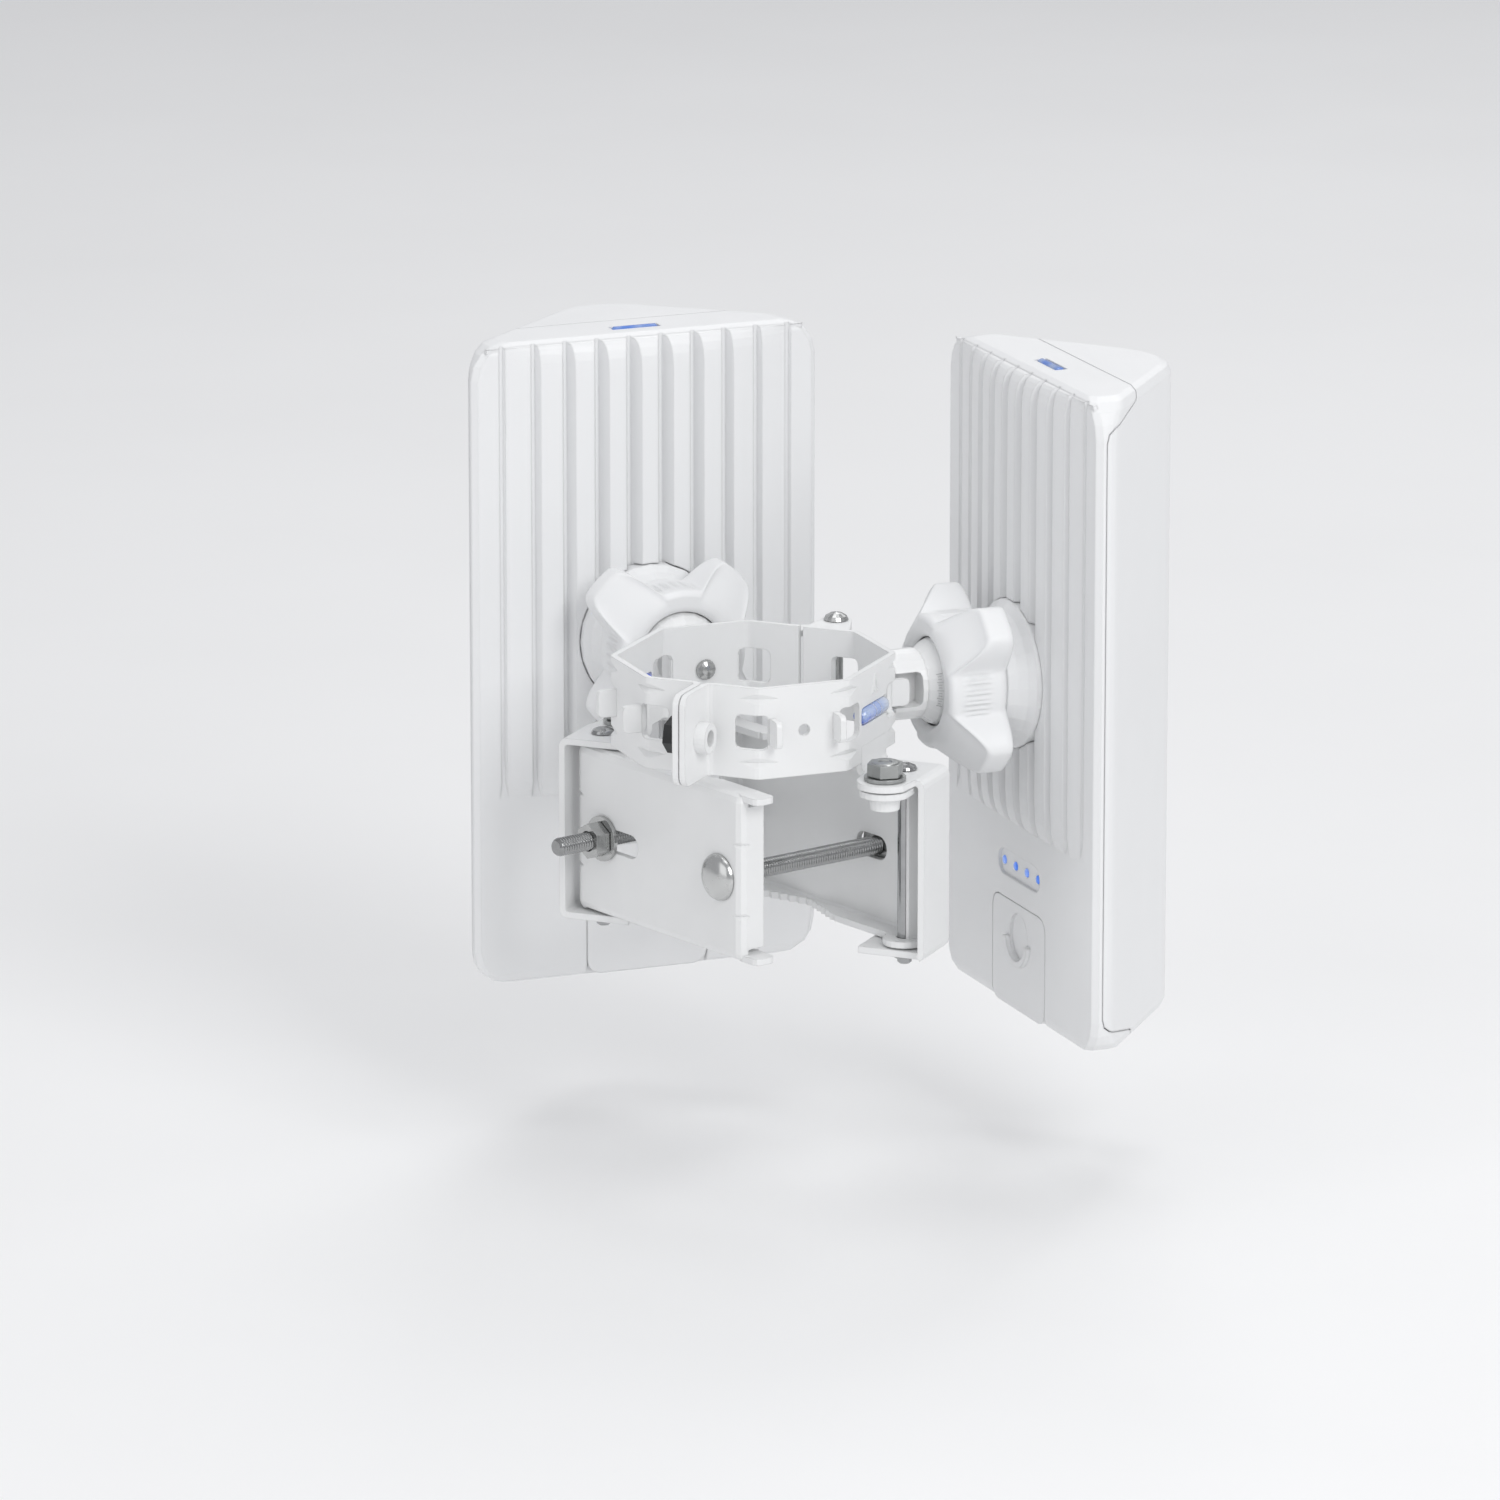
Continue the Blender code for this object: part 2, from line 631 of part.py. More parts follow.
rivet_at = standing_at(FRONT * -HINGE_OUT + ACROSS * HINGE_SIDE)
rivet_top = COLLAR_HIGH + 0.1
rivet_foot = COLLAR_LOW - 0.1
rivet = dome(5.2, rivet_top, 3.2) + [(HINGE_R, rivet_top), (HINGE_R, rivet_foot)]
rivet += [(r, -z + rivet_top + rivet_foot) for r, z in reversed(dome(5.2, rivet_top, 2.4))]
piece("hinge_rivet", baked(turned("hinge_rivet_shape", rivet, rivet_at, 16)), STEEL, mount)

for side, sign in (("right", 1), ("left", -1)):
    pin_at = PIN_RIGHT * sign
    face_turn = Matrix.Rotation(math.radians(-45 if sign > 0 else 135), 4, 'Z')
    vial_mid = PLAIN_OUT - SHEET / 2
    tube = [(0.0, 13.1), (1.7, 13.0), (3.0, 12.0), (3.5, 10.4), (3.5, -10.4), (3.0, -12.0),
            (1.7, -13.0), (0.0, -13.1)]
    lay = face_turn @ Matrix.Translation((vial_mid, 1.5, 22.25)) @ Matrix.Rotation(math.pi / 2, 4, 'X')
    piece("level_vial_" + side, baked(turned("level_vial_tube_" + side, tube, lay, 16)),
          BLUE_CLEAR, mount)

    pin = dome(5.0, 0.4, 2.4) + [(PIN_R, 0.4), (PIN_R, FOOT_Z - 3.9), (PIN_R - 0.7, FOOT_Z - 4.6),
                                 (0.0, FOOT_Z - 4.6)]
    piece("pivot_pin_" + side, baked(turned("pivot_pin_shape_" + side, pin, standing_at(pin_at), 20)),
          STEEL, mount)
    foot = FOOT_Z - GAP
    clip = [(PIN_R + GAP, foot), (5.2, foot), (5.2, foot - 0.7), (4.3, foot - 1.9), (PIN_R + GAP, foot - 1.9)]
    piece("pivot_clip_" + side, baked(turned("pivot_clip_shape_" + side, clip, standing_at(pin_at), 20,
                                             True)), STEEL, mount)

# ---------------------------------------------------------------- jaws

JAW_BASE = Matrix(((math.cos(JAW_ANGLE), math.sin(JAW_ANGLE), 0, 0),
                   (math.sin(JAW_ANGLE), -math.cos(JAW_ANGLE), 0, 0),
                   (0, 0, 1, 0), (0, 0, 0, 1)))
HALF_TURN = Matrix.Rotation(math.pi, 4, 'Z')
PIN_IN_JAW = JAW_BASE.inverted() @ PIN_RIGHT
LOCK_IN_JAW = JAW_BASE.inverted() @ LOCK_RIGHT


def jaw_flange(name, span, top):
    """The pivot end of a jaw's flange, and on the top one the lobe for the lock bolt."""
    pin = (PIN_IN_JAW.x, PIN_IN_JAW.y)
    lock = (LOCK_IN_JAW.x, LOCK_IN_JAW.y)
    outline = [(JAW_OUT - 2.5, 36.0), (JAW_OUT - 2.5, span[1] - 3.0)]
    if top:
        outline += arc(pin, 9.0, 0, 65, 4) + arc(lock, 10.5, 75, 280, 12)
        outline += arc(pin, 9.0, 200, 260, 4)
    else:
        outline += arc(pin, 9.0, 0, 260, 14)
    outline += [(JAW_EDGE + 0.5, 45.0), (JAW_EDGE + 0.5, 36.0)]
    high = JAW_TOP - 0.05 if top else JAW_FOOT + JAW_SHEET - 0.05
    return flat(name, [outline], high - JAW_SHEET + 0.1, high)


def jaw(name, span, mast, plain_bolt, slot_bolt):
    """One jaw in its own frame: plate across N, pivot at the high end of T."""
    low, high = span
    body = block(name + "_tray", (JAW_EDGE, low, JAW_FOOT), (JAW_OUT, high, JAW_TOP), 3.2, segments=2)
    inner = block(name + "_inside", (JAW_EDGE - 9, low + JAW_SHEET, JAW_FOOT + JAW_SHEET),
                  (JAW_OUT - JAW_SHEET, high - JAW_SHEET, JAW_TOP - JAW_SHEET), 1.2, segments=1)
    front = block(name + "_opening", (JAW_EDGE - 9, low - 5, JAW_FOOT - 5),
                  (JAW_EDGE + 3.4, high + 5, JAW_TOP + 5))
    rim = block(name + "_rim", (JAW_EDGE, low, JAW_FOOT), (JAW_OUT - 5, high, JAW_TOP), 2.4,
                (1, 0, 0), 2)
    cut(body, front)
    join(body, rim)
    cut(body, inner)
    for index, base in enumerate((JAW_TOP - JAW_SHEET + 0.05, JAW_FOOT + 0.05)):
        tongue = block(f"{name}_tongue_{index}", (JAW_EDGE + 0.05, low - 8.0, base),
                       (JAW_OUT - 2.0, low + 5.0, base + JAW_SHEET - 0.1), 2.6, (0, 0, 1), 2)
        join(body, tongue)
    join(body, jaw_flange(name + "_pivot_top", span, True))
    join(body, jaw_flange(name + "_pivot_foot", span, False))
    lock = Vector((LOCK_IN_JAW.x, LOCK_IN_JAW.y, 0))
    drop = Vector((0, 0, JAW_TOP - JAW_SHEET + 0.6))
    join(body, rod(name + "_burr", lock + drop, lock + Vector((0, 0, -12.0)), 6.5, 6.0))
    reach = (NOTCH_APEX - JAW_EDGE + 1.6) / NOTCH_SLOPE
    teeth = 7
    pitch = reach / teeth
    side = []
    for i in range(teeth):
        t = i * pitch
        side.append((NOTCH_APEX - t * NOTCH_SLOPE - 0.9, t))
        side.append((NOTCH_APEX - (t + pitch * 0.25) * NOTCH_SLOPE + 0.2, t + pitch * 0.5))
    side.append((NOTCH_APEX - reach * NOTCH_SLOPE - 0.9, reach))
    loop = [(n, mast + t) for n, t in side] + [(JAW_EDGE - 12, mast + reach)]
    loop += [(JAW_EDGE - 12, mast - reach)] + [(n, mast - t) for n, t in reversed(side[1:])]
    notch = flat(name + "_notch", [loop], JAW_FOOT - 4, JAW_TOP + 4)
    square = block(name + "_square", (JAW_OUT - 9, plain_bolt - 4.5, BOLT_Z - 4.5),
                   (JAW_OUT + 4, plain_bolt + 4.5, BOLT_Z + 4.5))
    slot = block(name + "_slot", (JAW_OUT - 9, slot_bolt[0], BOLT_Z - 5.0),
                 (JAW_OUT + 4, slot_bolt[1], BOLT_Z + 5.0), 4.9, (1, 0, 0), 4)
    pin = Vector((PIN_IN_JAW.x, PIN_IN_JAW.y, 0))
    bore = rod(name + "_bore", pin, pin + Vector((0, 0, FOOT_Z)), PIN_R + GAP)
    hole = rod(name + "_lock_bore", lock, lock + Vector((0, 0, -14.0)), LOCK_R + GAP)
    cut(body, notch, square, slot, bore, hole)
    reliefs = [block(f"{name}_relief_{i}", (JAW_EDGE - 6, low - 12, z - 2.2), (JAW_OUT - 4.2, low + 3.4, z))
               for i, z in enumerate((JAW_TOP - JAW_SHEET, JAW_FOOT + JAW_SHEET + 2.2))]
    darts = []
    for index, z in enumerate(JAW_DARTS):
        darts.append(dart(f"{name}_dart_low_{index}", (JAW_OUT, low, z), ((-1, 0, 0), (0, 1, 0)),
                          *JAW_DART))
        darts.append(dart(f"{name}_dart_high_{index}", (JAW_OUT, high, z), ((-1, 0, 0), (0, -1, 0)),
                          *JAW_DART))
    return cut(body, *reliefs, *darts)


def carriage_bolt(name, matrix):
    """Domed head, square neck and shank, its length along N."""
    under = JAW_OUT + GAP
    head = turned(name + "_head", dome(10.0, under, 4.8, 4) + [(0.0, under)], steps=24)
    neck = block(name + "_neck", (-4.1, -4.1, under - 3.0), (4.1, 4.1, under + 1.0))
    shank = rod(name + "_shank", (0, 0, under + 2), (0, 0, -BOLT_TIP), BOLT_R)
    return settled(join(head, neck, shank), matrix)


clamps = {}
for key, hand, pin_at, span, mast, plain, slotted in (
        ("front", HALF_TURN, -PIN_RIGHT, (-FRONT_SPAN[1], -FRONT_SPAN[0]), -MAST_T,
         -(MAST_T + BOLT_STEP), (24.0, 56.0)),
        ("rear", Matrix.Identity(4), PIN_RIGHT, REAR_SPAN, MAST_T,
         MAST_T - BOLT_STEP, (20.0, 40.0))):
    place = HALF_TURN @ JAW_BASE if key == "front" else JAW_BASE
    pivot = frame("jaw_" + key + "_pivot", pin_at, parent=mount)
    shape = settled(jaw("jaw_" + key, span, mast, plain, slotted), place)
    piece("jaw_" + key, baked(shape, pin_at), WHITE_PAINT, pivot)
    letter = "a" if key == "front" else "b"
    along_n = Matrix.Translation((0, plain, BOLT_Z)) @ Matrix.Rotation(math.pi / 2, 4, 'Y')
    bolt = carriage_bolt("clamp_bolt_shape_" + letter, place @ along_n)
    piece("clamp_bolt_" + letter, baked(bolt, pin_at), STEEL, pivot)
    near = JAW_OUT + GAP
    washer = ring("clamp_washer_shape_" + letter, -near - 1.6, -near, BOLT_R + GAP, 9.5,
                  place @ along_n)
    piece("clamp_washer_" + letter, baked(washer, pin_at), STEEL, pivot)
    nut = hexagon("clamp_nut_shape_" + letter, (0, 0, -near - 1.9), (0, 0, -near - 8.4), 13.0)
    cut(nut, rod("clamp_nut_bore_" + letter, (0, 0, -near + 3), (0, 0, -near - 12), BOLT_R + GAP))
    piece("clamp_nut_" + letter, baked(settled(nut, place @ along_n), pin_at), STEEL, pivot)
    side = "left" if key == "front" else "right"
    lock_at = LOCK_RIGHT * (-1 if key == "front" else 1)
    lock = hexagon("lock_bolt_head_" + side, (0, 0, 2.1), (0, 0, 7.4), 13.0, 0.4)
    join(lock, rod("lock_bolt_shank_" + side, (0, 0, 3.0), (0, 0, -11.5), LOCK_R, sides=24))
    piece("lock_bolt_" + side, baked(settled(lock, standing_at(lock_at)), pin_at), STEEL, pivot)
    washer = ring("lock_washer_shape_" + side, GAP, 1.8, LOCK_R + GAP, 8.6, standing_at(lock_at))
    piece("lock_washer_" + side, baked(washer, pin_at), STEEL, pivot)

# ---------------------------------------------------------------- ball joints

def shell_of(radius, first, last, count):
    """Points (radius, x) on a sphere round the ball's centre, between two angles from +X."""
    return [(y, x) for x, y in arc((0, 0), radius, first, last, count)]


def polar(radius, x):
    return math.degrees(math.acos(x / radius))


ARM_START = FLAT_OUT + GAP - BALL_X
TAB_ROOM = (-17.5, 5.5, 7.2)           # end, side and half height of the arm's two pockets


def ball_arm():
    profile = shell_of(BALL_R, 0, polar(BALL_R, -14.6), 8)
    profile[0] = (0.0, BALL_R)
    profile += [(ARM_R, -15.4), (ARM_R, ARM_START + 2.9), (ARM_R - 0.8, ARM_START + 2.2),
                (12.0, ARM_START + 2.2), (12.0, ARM_START), (0.0, ARM_START)]
    body = turned("ball_arm_shape", profile, along_x(), 20)
    end, side, half = TAB_ROOM
    low = (ARM_START - 4, side, 0.5 - half)
    notch = block("ball_arm_notch_far", low, (end, side + 14, 0.5 + half), 2.0, (0, 1, 0), 2)
    mirror = block("ball_arm_notch_near", (low[0], -side - 14, low[2]), (end, -side, 0.5 + half),
                   2.0, (0, 1, 0), 2)
    bore = rod("ball_arm_bore", (ARM_START - 4, 0, 0), (-20.0, 0, 0), 2.4, sides=16)
    return cut(body, notch, mirror, bore)


def arm_screw():
    under = FLAT_OUT - SHEET - GAP - BALL_X
    profile = [(0.0, -21.0), (2.1, -21.0), (2.1, under)]
    profile += [(r, 2 * under - z) for r, z in reversed(dome(4.4, under, 2.6))]
    return turned("arm_screw_shape", profile, along_x(), 16)


RING = (20.3, 21.6, -2.5, 10.0)        # inner and outer radius, and where it starts and ends
CUP_IN = 22.1
CUP_OUT = 24.6
CUP_LIP = -3.0
KNOB_BORE = 25.0
KNOB_BACK = -11.0
KNOB_FRONT = 14.8
KNOB_SADDLE = 28.0
KNOB_WING = 14.4
KNOB_RAKE = 0.92               # how far the back leans forward per millimetre of radius
BOSS_R = 31.0


def ball_ring():
    inner, outer, first, last = RING
    profile = shell_of(outer, polar(outer, last), polar(outer, first), 3)
    profile += shell_of(inner, polar(inner, first), polar(inner, last), 3)
    body = turned("ball_ring_shape", profile, along_x(), 24, True)
    return cut(body, block("ball_ring_slit", (-8, -1.2, 12), (14, 1.2, 26)))


def ball_socket():
    profile = shell_of(CUP_IN, 0, polar(CUP_IN, CUP_LIP), 6)
    profile[0] = (0.0, CUP_IN)
    profile += [(CUP_OUT, CUP_LIP), (CUP_OUT, KNOB_FRONT + 0.3), (25.6, KNOB_FRONT + 0.8),
                (26.4, KNOB_FRONT + 5.0), (28.2, BACK - 8.2), (BOSS_R, BACK - 5.7),
                (BOSS_R, BACK - 0.1), (0.0, BACK - 0.1)]
    return turned("ball_socket_shape", profile, along_x(), 24)


def lock_knob():
    """Four flat-ended wings with saddles between them, raked back faces and a flared opening."""
    count = 64
    rows = []
    for i in range(count):
        angle = math.tau * i / count
        off = abs((math.degrees(angle) % 90) - 45)
        share = min(max((off - 9.0) / 20.0, 0.0), 1.0)
        wing = 1 - share * share * (3 - 2 * share)
        radius = KNOB_SADDLE + KNOB_WING * wing
        back = KNOB_BACK + KNOB_RAKE * KNOB_WING * wing
        profile = [(KNOB_BORE, KNOB_FRONT), (radius - 1.2, KNOB_FRONT), (radius, KNOB_FRONT - 1.4),
                   (radius, back + 1.8), (radius - 1.3, back), (KNOB_SADDLE - 2.5, KNOB_BACK),
                   (21.0, KNOB_BACK), (18.4, KNOB_BACK + 2.6), (KNOB_BORE, -4.5)]
        rows.append([(x, r * math.cos(angle), r * math.sin(angle)) for r, x in profile])
    bm = bmesh.new()
    made = [[bm.verts.new(p) for p in row] for row in rows]
    for first, second in zip(made, made[1:] + made[:1]):
        for i in range(len(first)):
            j = (i + 1) % len(first)
            bm.faces.new((first[i], first[j], second[j], second[i]))
    return from_bmesh("lock_knob_shape", bm)


# ---------------------------------------------------------------- radio housings

SLANT = (0.761, 0.649, 56.0)           # the slanted sides: 0.761 d + 0.649 |u| = 56


def section(inset, back, half_width, high):
    """The housing's D-shaped outline at one height, its flat back at x = BACK + back."""
    a, b, c = SLANT
    c -= inset
    turn = (c - b * half_width) / a
    apex = c / a
    base = [(back, 0.0), (back, half_width), (turn, half_width), (apex, 0.0),
            (turn, -half_width), (back, -half_width), (back, 0.0)]
    wall = turn - back
    heel = min(2.5, 0.3 * wall)
    bend = min(9.0 - inset, 1.3 * wall)
    radii = [heel, bend, NOSE_R - inset, bend, heel]
    path = rounded([Vector((x, y, 0)) for x, y in base], radii, [1, 3, 7, 3, 1])
    return [(BACK + p.x, p.y, high) for p in path[:-1]]


def housing(name, inset, back, low, high, fine=True):
    """The housing's outer or inner surface: D-shaped sections with rounded ends."""
    edge = 4.5
    corner = 15.0 - min(inset, 8.0)
    steps = (0.0, 1.3, 4.5, 9.0, corner) if fine else (0.0, 3.0, corner)
    levels = []
    for k in steps:
        turn_in = corner - math.sqrt(corner ** 2 - (corner - k) ** 2)
        soft = edge - math.sqrt(edge ** 2 - (edge - k) ** 2) if k < edge and fine else 0.0
        levels.append((k, turn_in, soft))
    bm = bmesh.new()
    rows = []
    stack = [(low + k, t, s) for k, t, s in levels] + [(high - k, t, s) for k, t, s in reversed(levels)]
    for z, turn_in, soft in stack:
        points = section(inset + soft, back + soft * 0.8, HALF_W - inset - turn_in, z)
        rows.append([bm.verts.new(p) for p in points])
    for first, second in zip(rows, rows[1:]):
        for i in range(len(first)):
            j = (i + 1) % len(first)
            bm.faces.new((first[i], first[j], second[j], second[i]))
    bm.faces.new(rows[0])
    bm.faces.new(rows[-1])
    return from_bmesh(name, bm)


SEAM = 4.0
SEAM_TOP = 27.5
CAVITY_TOP = TOP - 6.0


def seam_path(shift, up):
    """The parting line seen from the side: straight, then sweeping forward at each end."""
    points = [(BACK + SEAM_TOP + shift, FOOT - 9), (BACK + SEAM_TOP + shift, FOOT + 4 + up),
              (BACK + SEAM + shift, FOOT + 12 + up), (BACK + SEAM + shift, TOP - 12 - up),
              (BACK + SEAM_TOP + shift, TOP - 4 - up), (BACK + SEAM_TOP + shift, TOP + 9)]
    path = rounded([Vector((x, z, 0)) for x, z in points], [3.0, 6.0, 6.0, 3.0], 2)
    return [(p.x, p.y) for p in path]


# A flat outline drawn in X and Z stands across Y
ACROSS_Y = Matrix(((1, 0, 0, 0), (0, 0, 1, 0), (0, 1, 0, 0), (0, 0, 0, 1)))
# A flat outline drawn in Y and Z stands along X
UP_X = Matrix(((0, 0, 1, 0), (1, 0, 0, 0), (0, 1, 0, 0), (0, 0, 0, 1)))


def stadium(half_length, radius, z):
    return arc((half_length - radius, z), radius, -90, 90, 8) + arc((radius - half_length, z), radius, 90, 270, 8)


def fin_pad():
    """The crowned field on the back that the grooves divide into fins."""
    edge = 70.6
    count = 10
    levels = [(FIN_FOOT, 0.0), (FIN_FOOT + 1.3, 0.36), (FIN_FOOT + 4.0, 0.64), (FIN_FOOT + 8.5, 0.87),
              (FIN_FOOT + 16, 1.0), (TOP - 14, 1.0), (TOP - 9, 0.93), (TOP - 5.5, 0.75),
              (TOP - 3.2, 0.5), (TOP - 2.0, 0.25), (TOP - 1.7, 0.0)]
    bm = bmesh.new()
    rows = []
    for z, share in levels:
        row = []
        for i in range(count + 1):
            u = -edge + 2 * edge * i / count
            crown = (FIN_CROWN + 0.15 - 5.3 * (u / 63.45) ** 2) * share
            row.append(bm.verts.new((BACK + 0.15 - crown, u, z)))
        row.append(bm.verts.new((BACK + 2.5, edge, z)))
        row.append(bm.verts.new((BACK + 2.5, -edge, z)))
        rows.append(row)
    for first, second in zip(rows, rows[1:]):
        for i in range(len(first)):
            j = (i + 1) % len(first)
            bm.faces.new((first[i], first[j], second[j], second[i]))
    bm.faces.new(rows[0])
    bm.faces.new(rows[-1])
    return from_bmesh("fin_pad", bm)


def groove(index, u):
    """A V with a narrow flat floor, which comes out at the top and runs out in a fan at its foot."""
    outer = BACK - 10.0
    deep = BACK + 1.5
    draft = 0.42
    stations = [(TOP + 3, deep, 0.75), (FIN_FOOT + 16, deep, 0.75), (FIN_FOOT + 7, BACK + 0.9, 0.9),
                (FIN_FOOT + 1, BACK + 0.1, 1.9), (FIN_FOOT - 3, BACK - 0.6, 3.0),
                (FIN_FOOT - 6, BACK - 3.0, 3.0)]
    bm = bmesh.new()
    rows = []
    for z, floor, half in stations:
        wide = half + draft * (floor - outer)
        row = [(floor, u - half, z), (floor, u + half, z), (outer, u + wide, z), (outer, u - wide, z)]
        rows.append([bm.verts.new(p) for p in row])
    for first, second in zip(rows, rows[1:]):
        for i in range(4):
            j = (i + 1) % 4
            bm.faces.new((first[i], first[j], second[j], second[i]))
    bm.faces.new(rows[0])
    bm.faces.new(rows[-1])
    return settled(from_bmesh(f"groove_{index}", bm))


def rear_shell():
    body = housing("rear_shell_outside", 0.0, 0.0, FOOT, TOP)
    join(body, fin_pad())
    cavity = housing("rear_shell_cavity", WALL, BACK_WALL, FOOT + WALL, CAVITY_TOP, False)
    region = [(BACK - 30, FOOT - 9)] + seam_path(0.0, 0.0) + [(BACK - 30, TOP + 9)]
    keep(body, flat("rear_shell_region", [region], -90, 90, ACROSS_Y))
    boss = rod("rear_shell_boss", (BACK - 9, 0, 0), (BACK + 0.2, 0, 0), BOSS_R + 0.35, sides=64)
    cut(body, boss, cavity)
    body = settled(body)
    cut(body, together("rear_shell_grooves", [groove(i, (i - 4.5) * FIN_STEP) for i in range(10)]))
    body = settled(body)
    pill = flat("rear_shell_led_pill", [stadium(21.35, 5.5, LED_Z)], BACK - 4, BACK + 1.2, UP_X)
    lights = [(i - 1.5) * LED_STEP for i in range(4)]
    join(pill, *[rod(f"rear_shell_led_{i}", (BACK - 1, u, LED_Z), (BACK + 8, u, LED_Z), 1.95, sides=12)
                 for i, u in enumerate(lights)])
    body = settled(cut(body, settled(pill)))
    recess = block("rear_shell_door_recess", (BACK - 4, -DOOR_HALF - GAP, FOOT - 12),
                   (BACK + 2.7, DOOR_HALF + GAP, DOOR_TOP + GAP), 6.0, (1, 0, 0), 3)
    window = block("rear_shell_jack_window", (BACK + 1, -14, FOOT + 9), (BACK + 9, 14, FOOT + 31),
                   2.0, (1, 0, 0), 1)
    scoop = block("rear_shell_vial_scoop", (BACK + 10.0, -10.7, TOP - 3.8),
                  (BACK + 15.5, 10.7, TOP + 4), 1.6, (0, 1, 0), 2)
    return cut(body, recess, window, scoop)


def radome():
    body = housing("radome_outside", 0.0, 0.0, FOOT, TOP)
    cavity = housing("radome_cavity", WALL, BACK_WALL - 9, FOOT + WALL, CAVITY_TOP, False)
    region = seam_path(GAP, GAP) + [(BACK + 90, TOP + 9), (BACK + 90, FOOT - 9)]
    keep(body, flat("radome_region", [region], -90, 90, ACROSS_Y))
    return cut(body, cavity)


def seam_gasket():
    body = housing("gasket_outside", WALL + GAP, BACK_WALL - 9 + GAP, FOOT + WALL + GAP, CAVITY_TOP - GAP,
                   False)
    inside = housing("gasket_inside", WALL + 2.0, -8.0, FOOT + WALL + 2.0, CAVITY_TOP - 2.0, False)
    band = seam_path(1.4, 1.0) + list(reversed(seam_path(3.4, 3.0)))
    keep(body, flat("gasket_band", [band], -90, 90, ACROSS_Y))
    return cut(body, inside)


def main_board():
    body = block("main_board_sheet", (BACK + 8.5, -58, FOOT + 33), (BACK + 10.1, 58, TOP - 14))
    for i, (u, z, width, height) in enumerate(((-30, 40, 40, 44), (24, 58, 46, 34), (20, -30, 34, 34),
                                               (-32, -50, 30, 26))):
        join(body, block(f"main_board_can_{i}", (BACK + 9.5, u - width / 2, z - height / 2),
                         (BACK + 13.5, u + width / 2, z + height / 2)))
    return body


def antenna_array():
    body = block("antenna_panel", (BACK + 24, -42, FOOT + 16), (BACK + 25.6, 42, TOP - 18))
    for i in range(8):
        u = (i % 2 - 0.5) * 42
        z = (i // 2 - 1.5) * 56 - 8
        join(body, block(f"antenna_patch_{i}", (BACK + 25.2, u - 14, z - 14), (BACK + 26.8, u + 14, z + 14)))
    for i, (u, z) in enumerate(((-38, 100), (38, 100), (-38, -100), (38, -100))):
        join(body, rod(f"antenna_post_{i}", (BACK + 10.4, u, z), (BACK + 24.8, u, z), 3.0, sides=12))
    return body


def cable_door():
    body = block("cable_door_plate", (BACK, -DOOR_HALF, FOOT + 0.6), (BACK + 2.4, DOOR_HALF, DOOR_TOP),
                 5.7, (1, 0, 0), 3)
    middle = DOOR_TOP - 13.8
    finger = [(x, z) for z, x in stadium(10.0, 9.0, 0.0)]
    finger = [(x, z + middle) for x, z in finger]
    cut(body, flat("cable_door_finger", [finger], BACK - 4, BACK + 1.2, UP_X))
    eye = (0.0, middle - 0.5)
    hook = arc(eye, 12.4, 186, 354, 12) + arc(eye, 9.6, 354, 186, 12)
    return join(body, flat("cable_door_hook", [hook], BACK - 1.9, BACK + 1.8, UP_X))


def ethernet_jack():
    body = block("jack_body", (BACK + 5.4, -8, FOOT + 10), (BACK + 21, 8, FOOT + 28), 0.6, segments=1)
    socket = block("jack_socket", (BACK + 3, -6, FOOT + 13), (BACK + 17, 6, FOOT + 24))
    key = block("jack_key", (BACK + 3, -3, FOOT + 22), (BACK + 15, 3, FOOT + 26))
    return cut(body, socket, key)


def light_guide():
    body = block("light_guide_bar", (BACK + 5.4, -20, LED_Z - 3), (BACK + 8.0, 20, LED_Z + 3))
    for i in range(4):
        u = (i - 1.5) * LED_STEP
        join(body, rod(f"light_guide_pin_{i}", (BACK + 0.7, u, LED_Z), (BACK + 6, u, LED_Z), 1.65, sides=12))
    return body


def top_vial():
    tube = [(0.0, 10.2), (1.2, 10.1), (2.0, 9.2), (2.0, -9.2), (1.2, -10.1), (0.0, -10.2)]
    lay = Matrix.Translation((BACK + 12.75, 0, TOP - 1.3)) @ Matrix.Rotation(math.pi / 2, 4, 'X')
    return turned("top_vial_shape", tube, lay, 14)


for name, make, values in (
        ("ball_arm", ball_arm, BALL_GREY), ("arm_screw", arm_screw, STEEL),
        ("ball_ring", ball_ring, DARK_STEEL), ("ball_socket", ball_socket, WHITE_PLASTIC),
        ("lock_knob", lock_knob, WHITE_PLASTIC), ("rear_shell", rear_shell, WHITE_PLASTIC),
        ("radome", radome, WHITE_PLASTIC), ("seam_gasket", seam_gasket, RUBBER),
        ("main_board", main_board, BOARD), ("antenna_array", antenna_array, COPPER),
        ("cable_door", cable_door, WHITE_PLASTIC), ("ethernet_jack", ethernet_jack, DARK_STEEL),
        ("light_guide", light_guide, BLUE_CLEAR), ("top_vial", top_vial, BLUE_CLEAR)):
    shape = baked(make())
    for side, place, turn in (("right", (BALL_X, 0, AXIS_Z), 0.0),
                              ("left", (0, BALL_X, AXIS_Z), math.pi / 2)):
        holder = bpy.data.objects.get("ball_joint_" + side) or frame("ball_joint_" + side, place, turn)
        piece(f"{name}_{side}", shape, values, holder)
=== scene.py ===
"""Looks of the outdoor wireless bridge: finishes, fine hardware, studio light and camera."""
import math

import bmesh
import bpy
from mathutils import Matrix, Vector


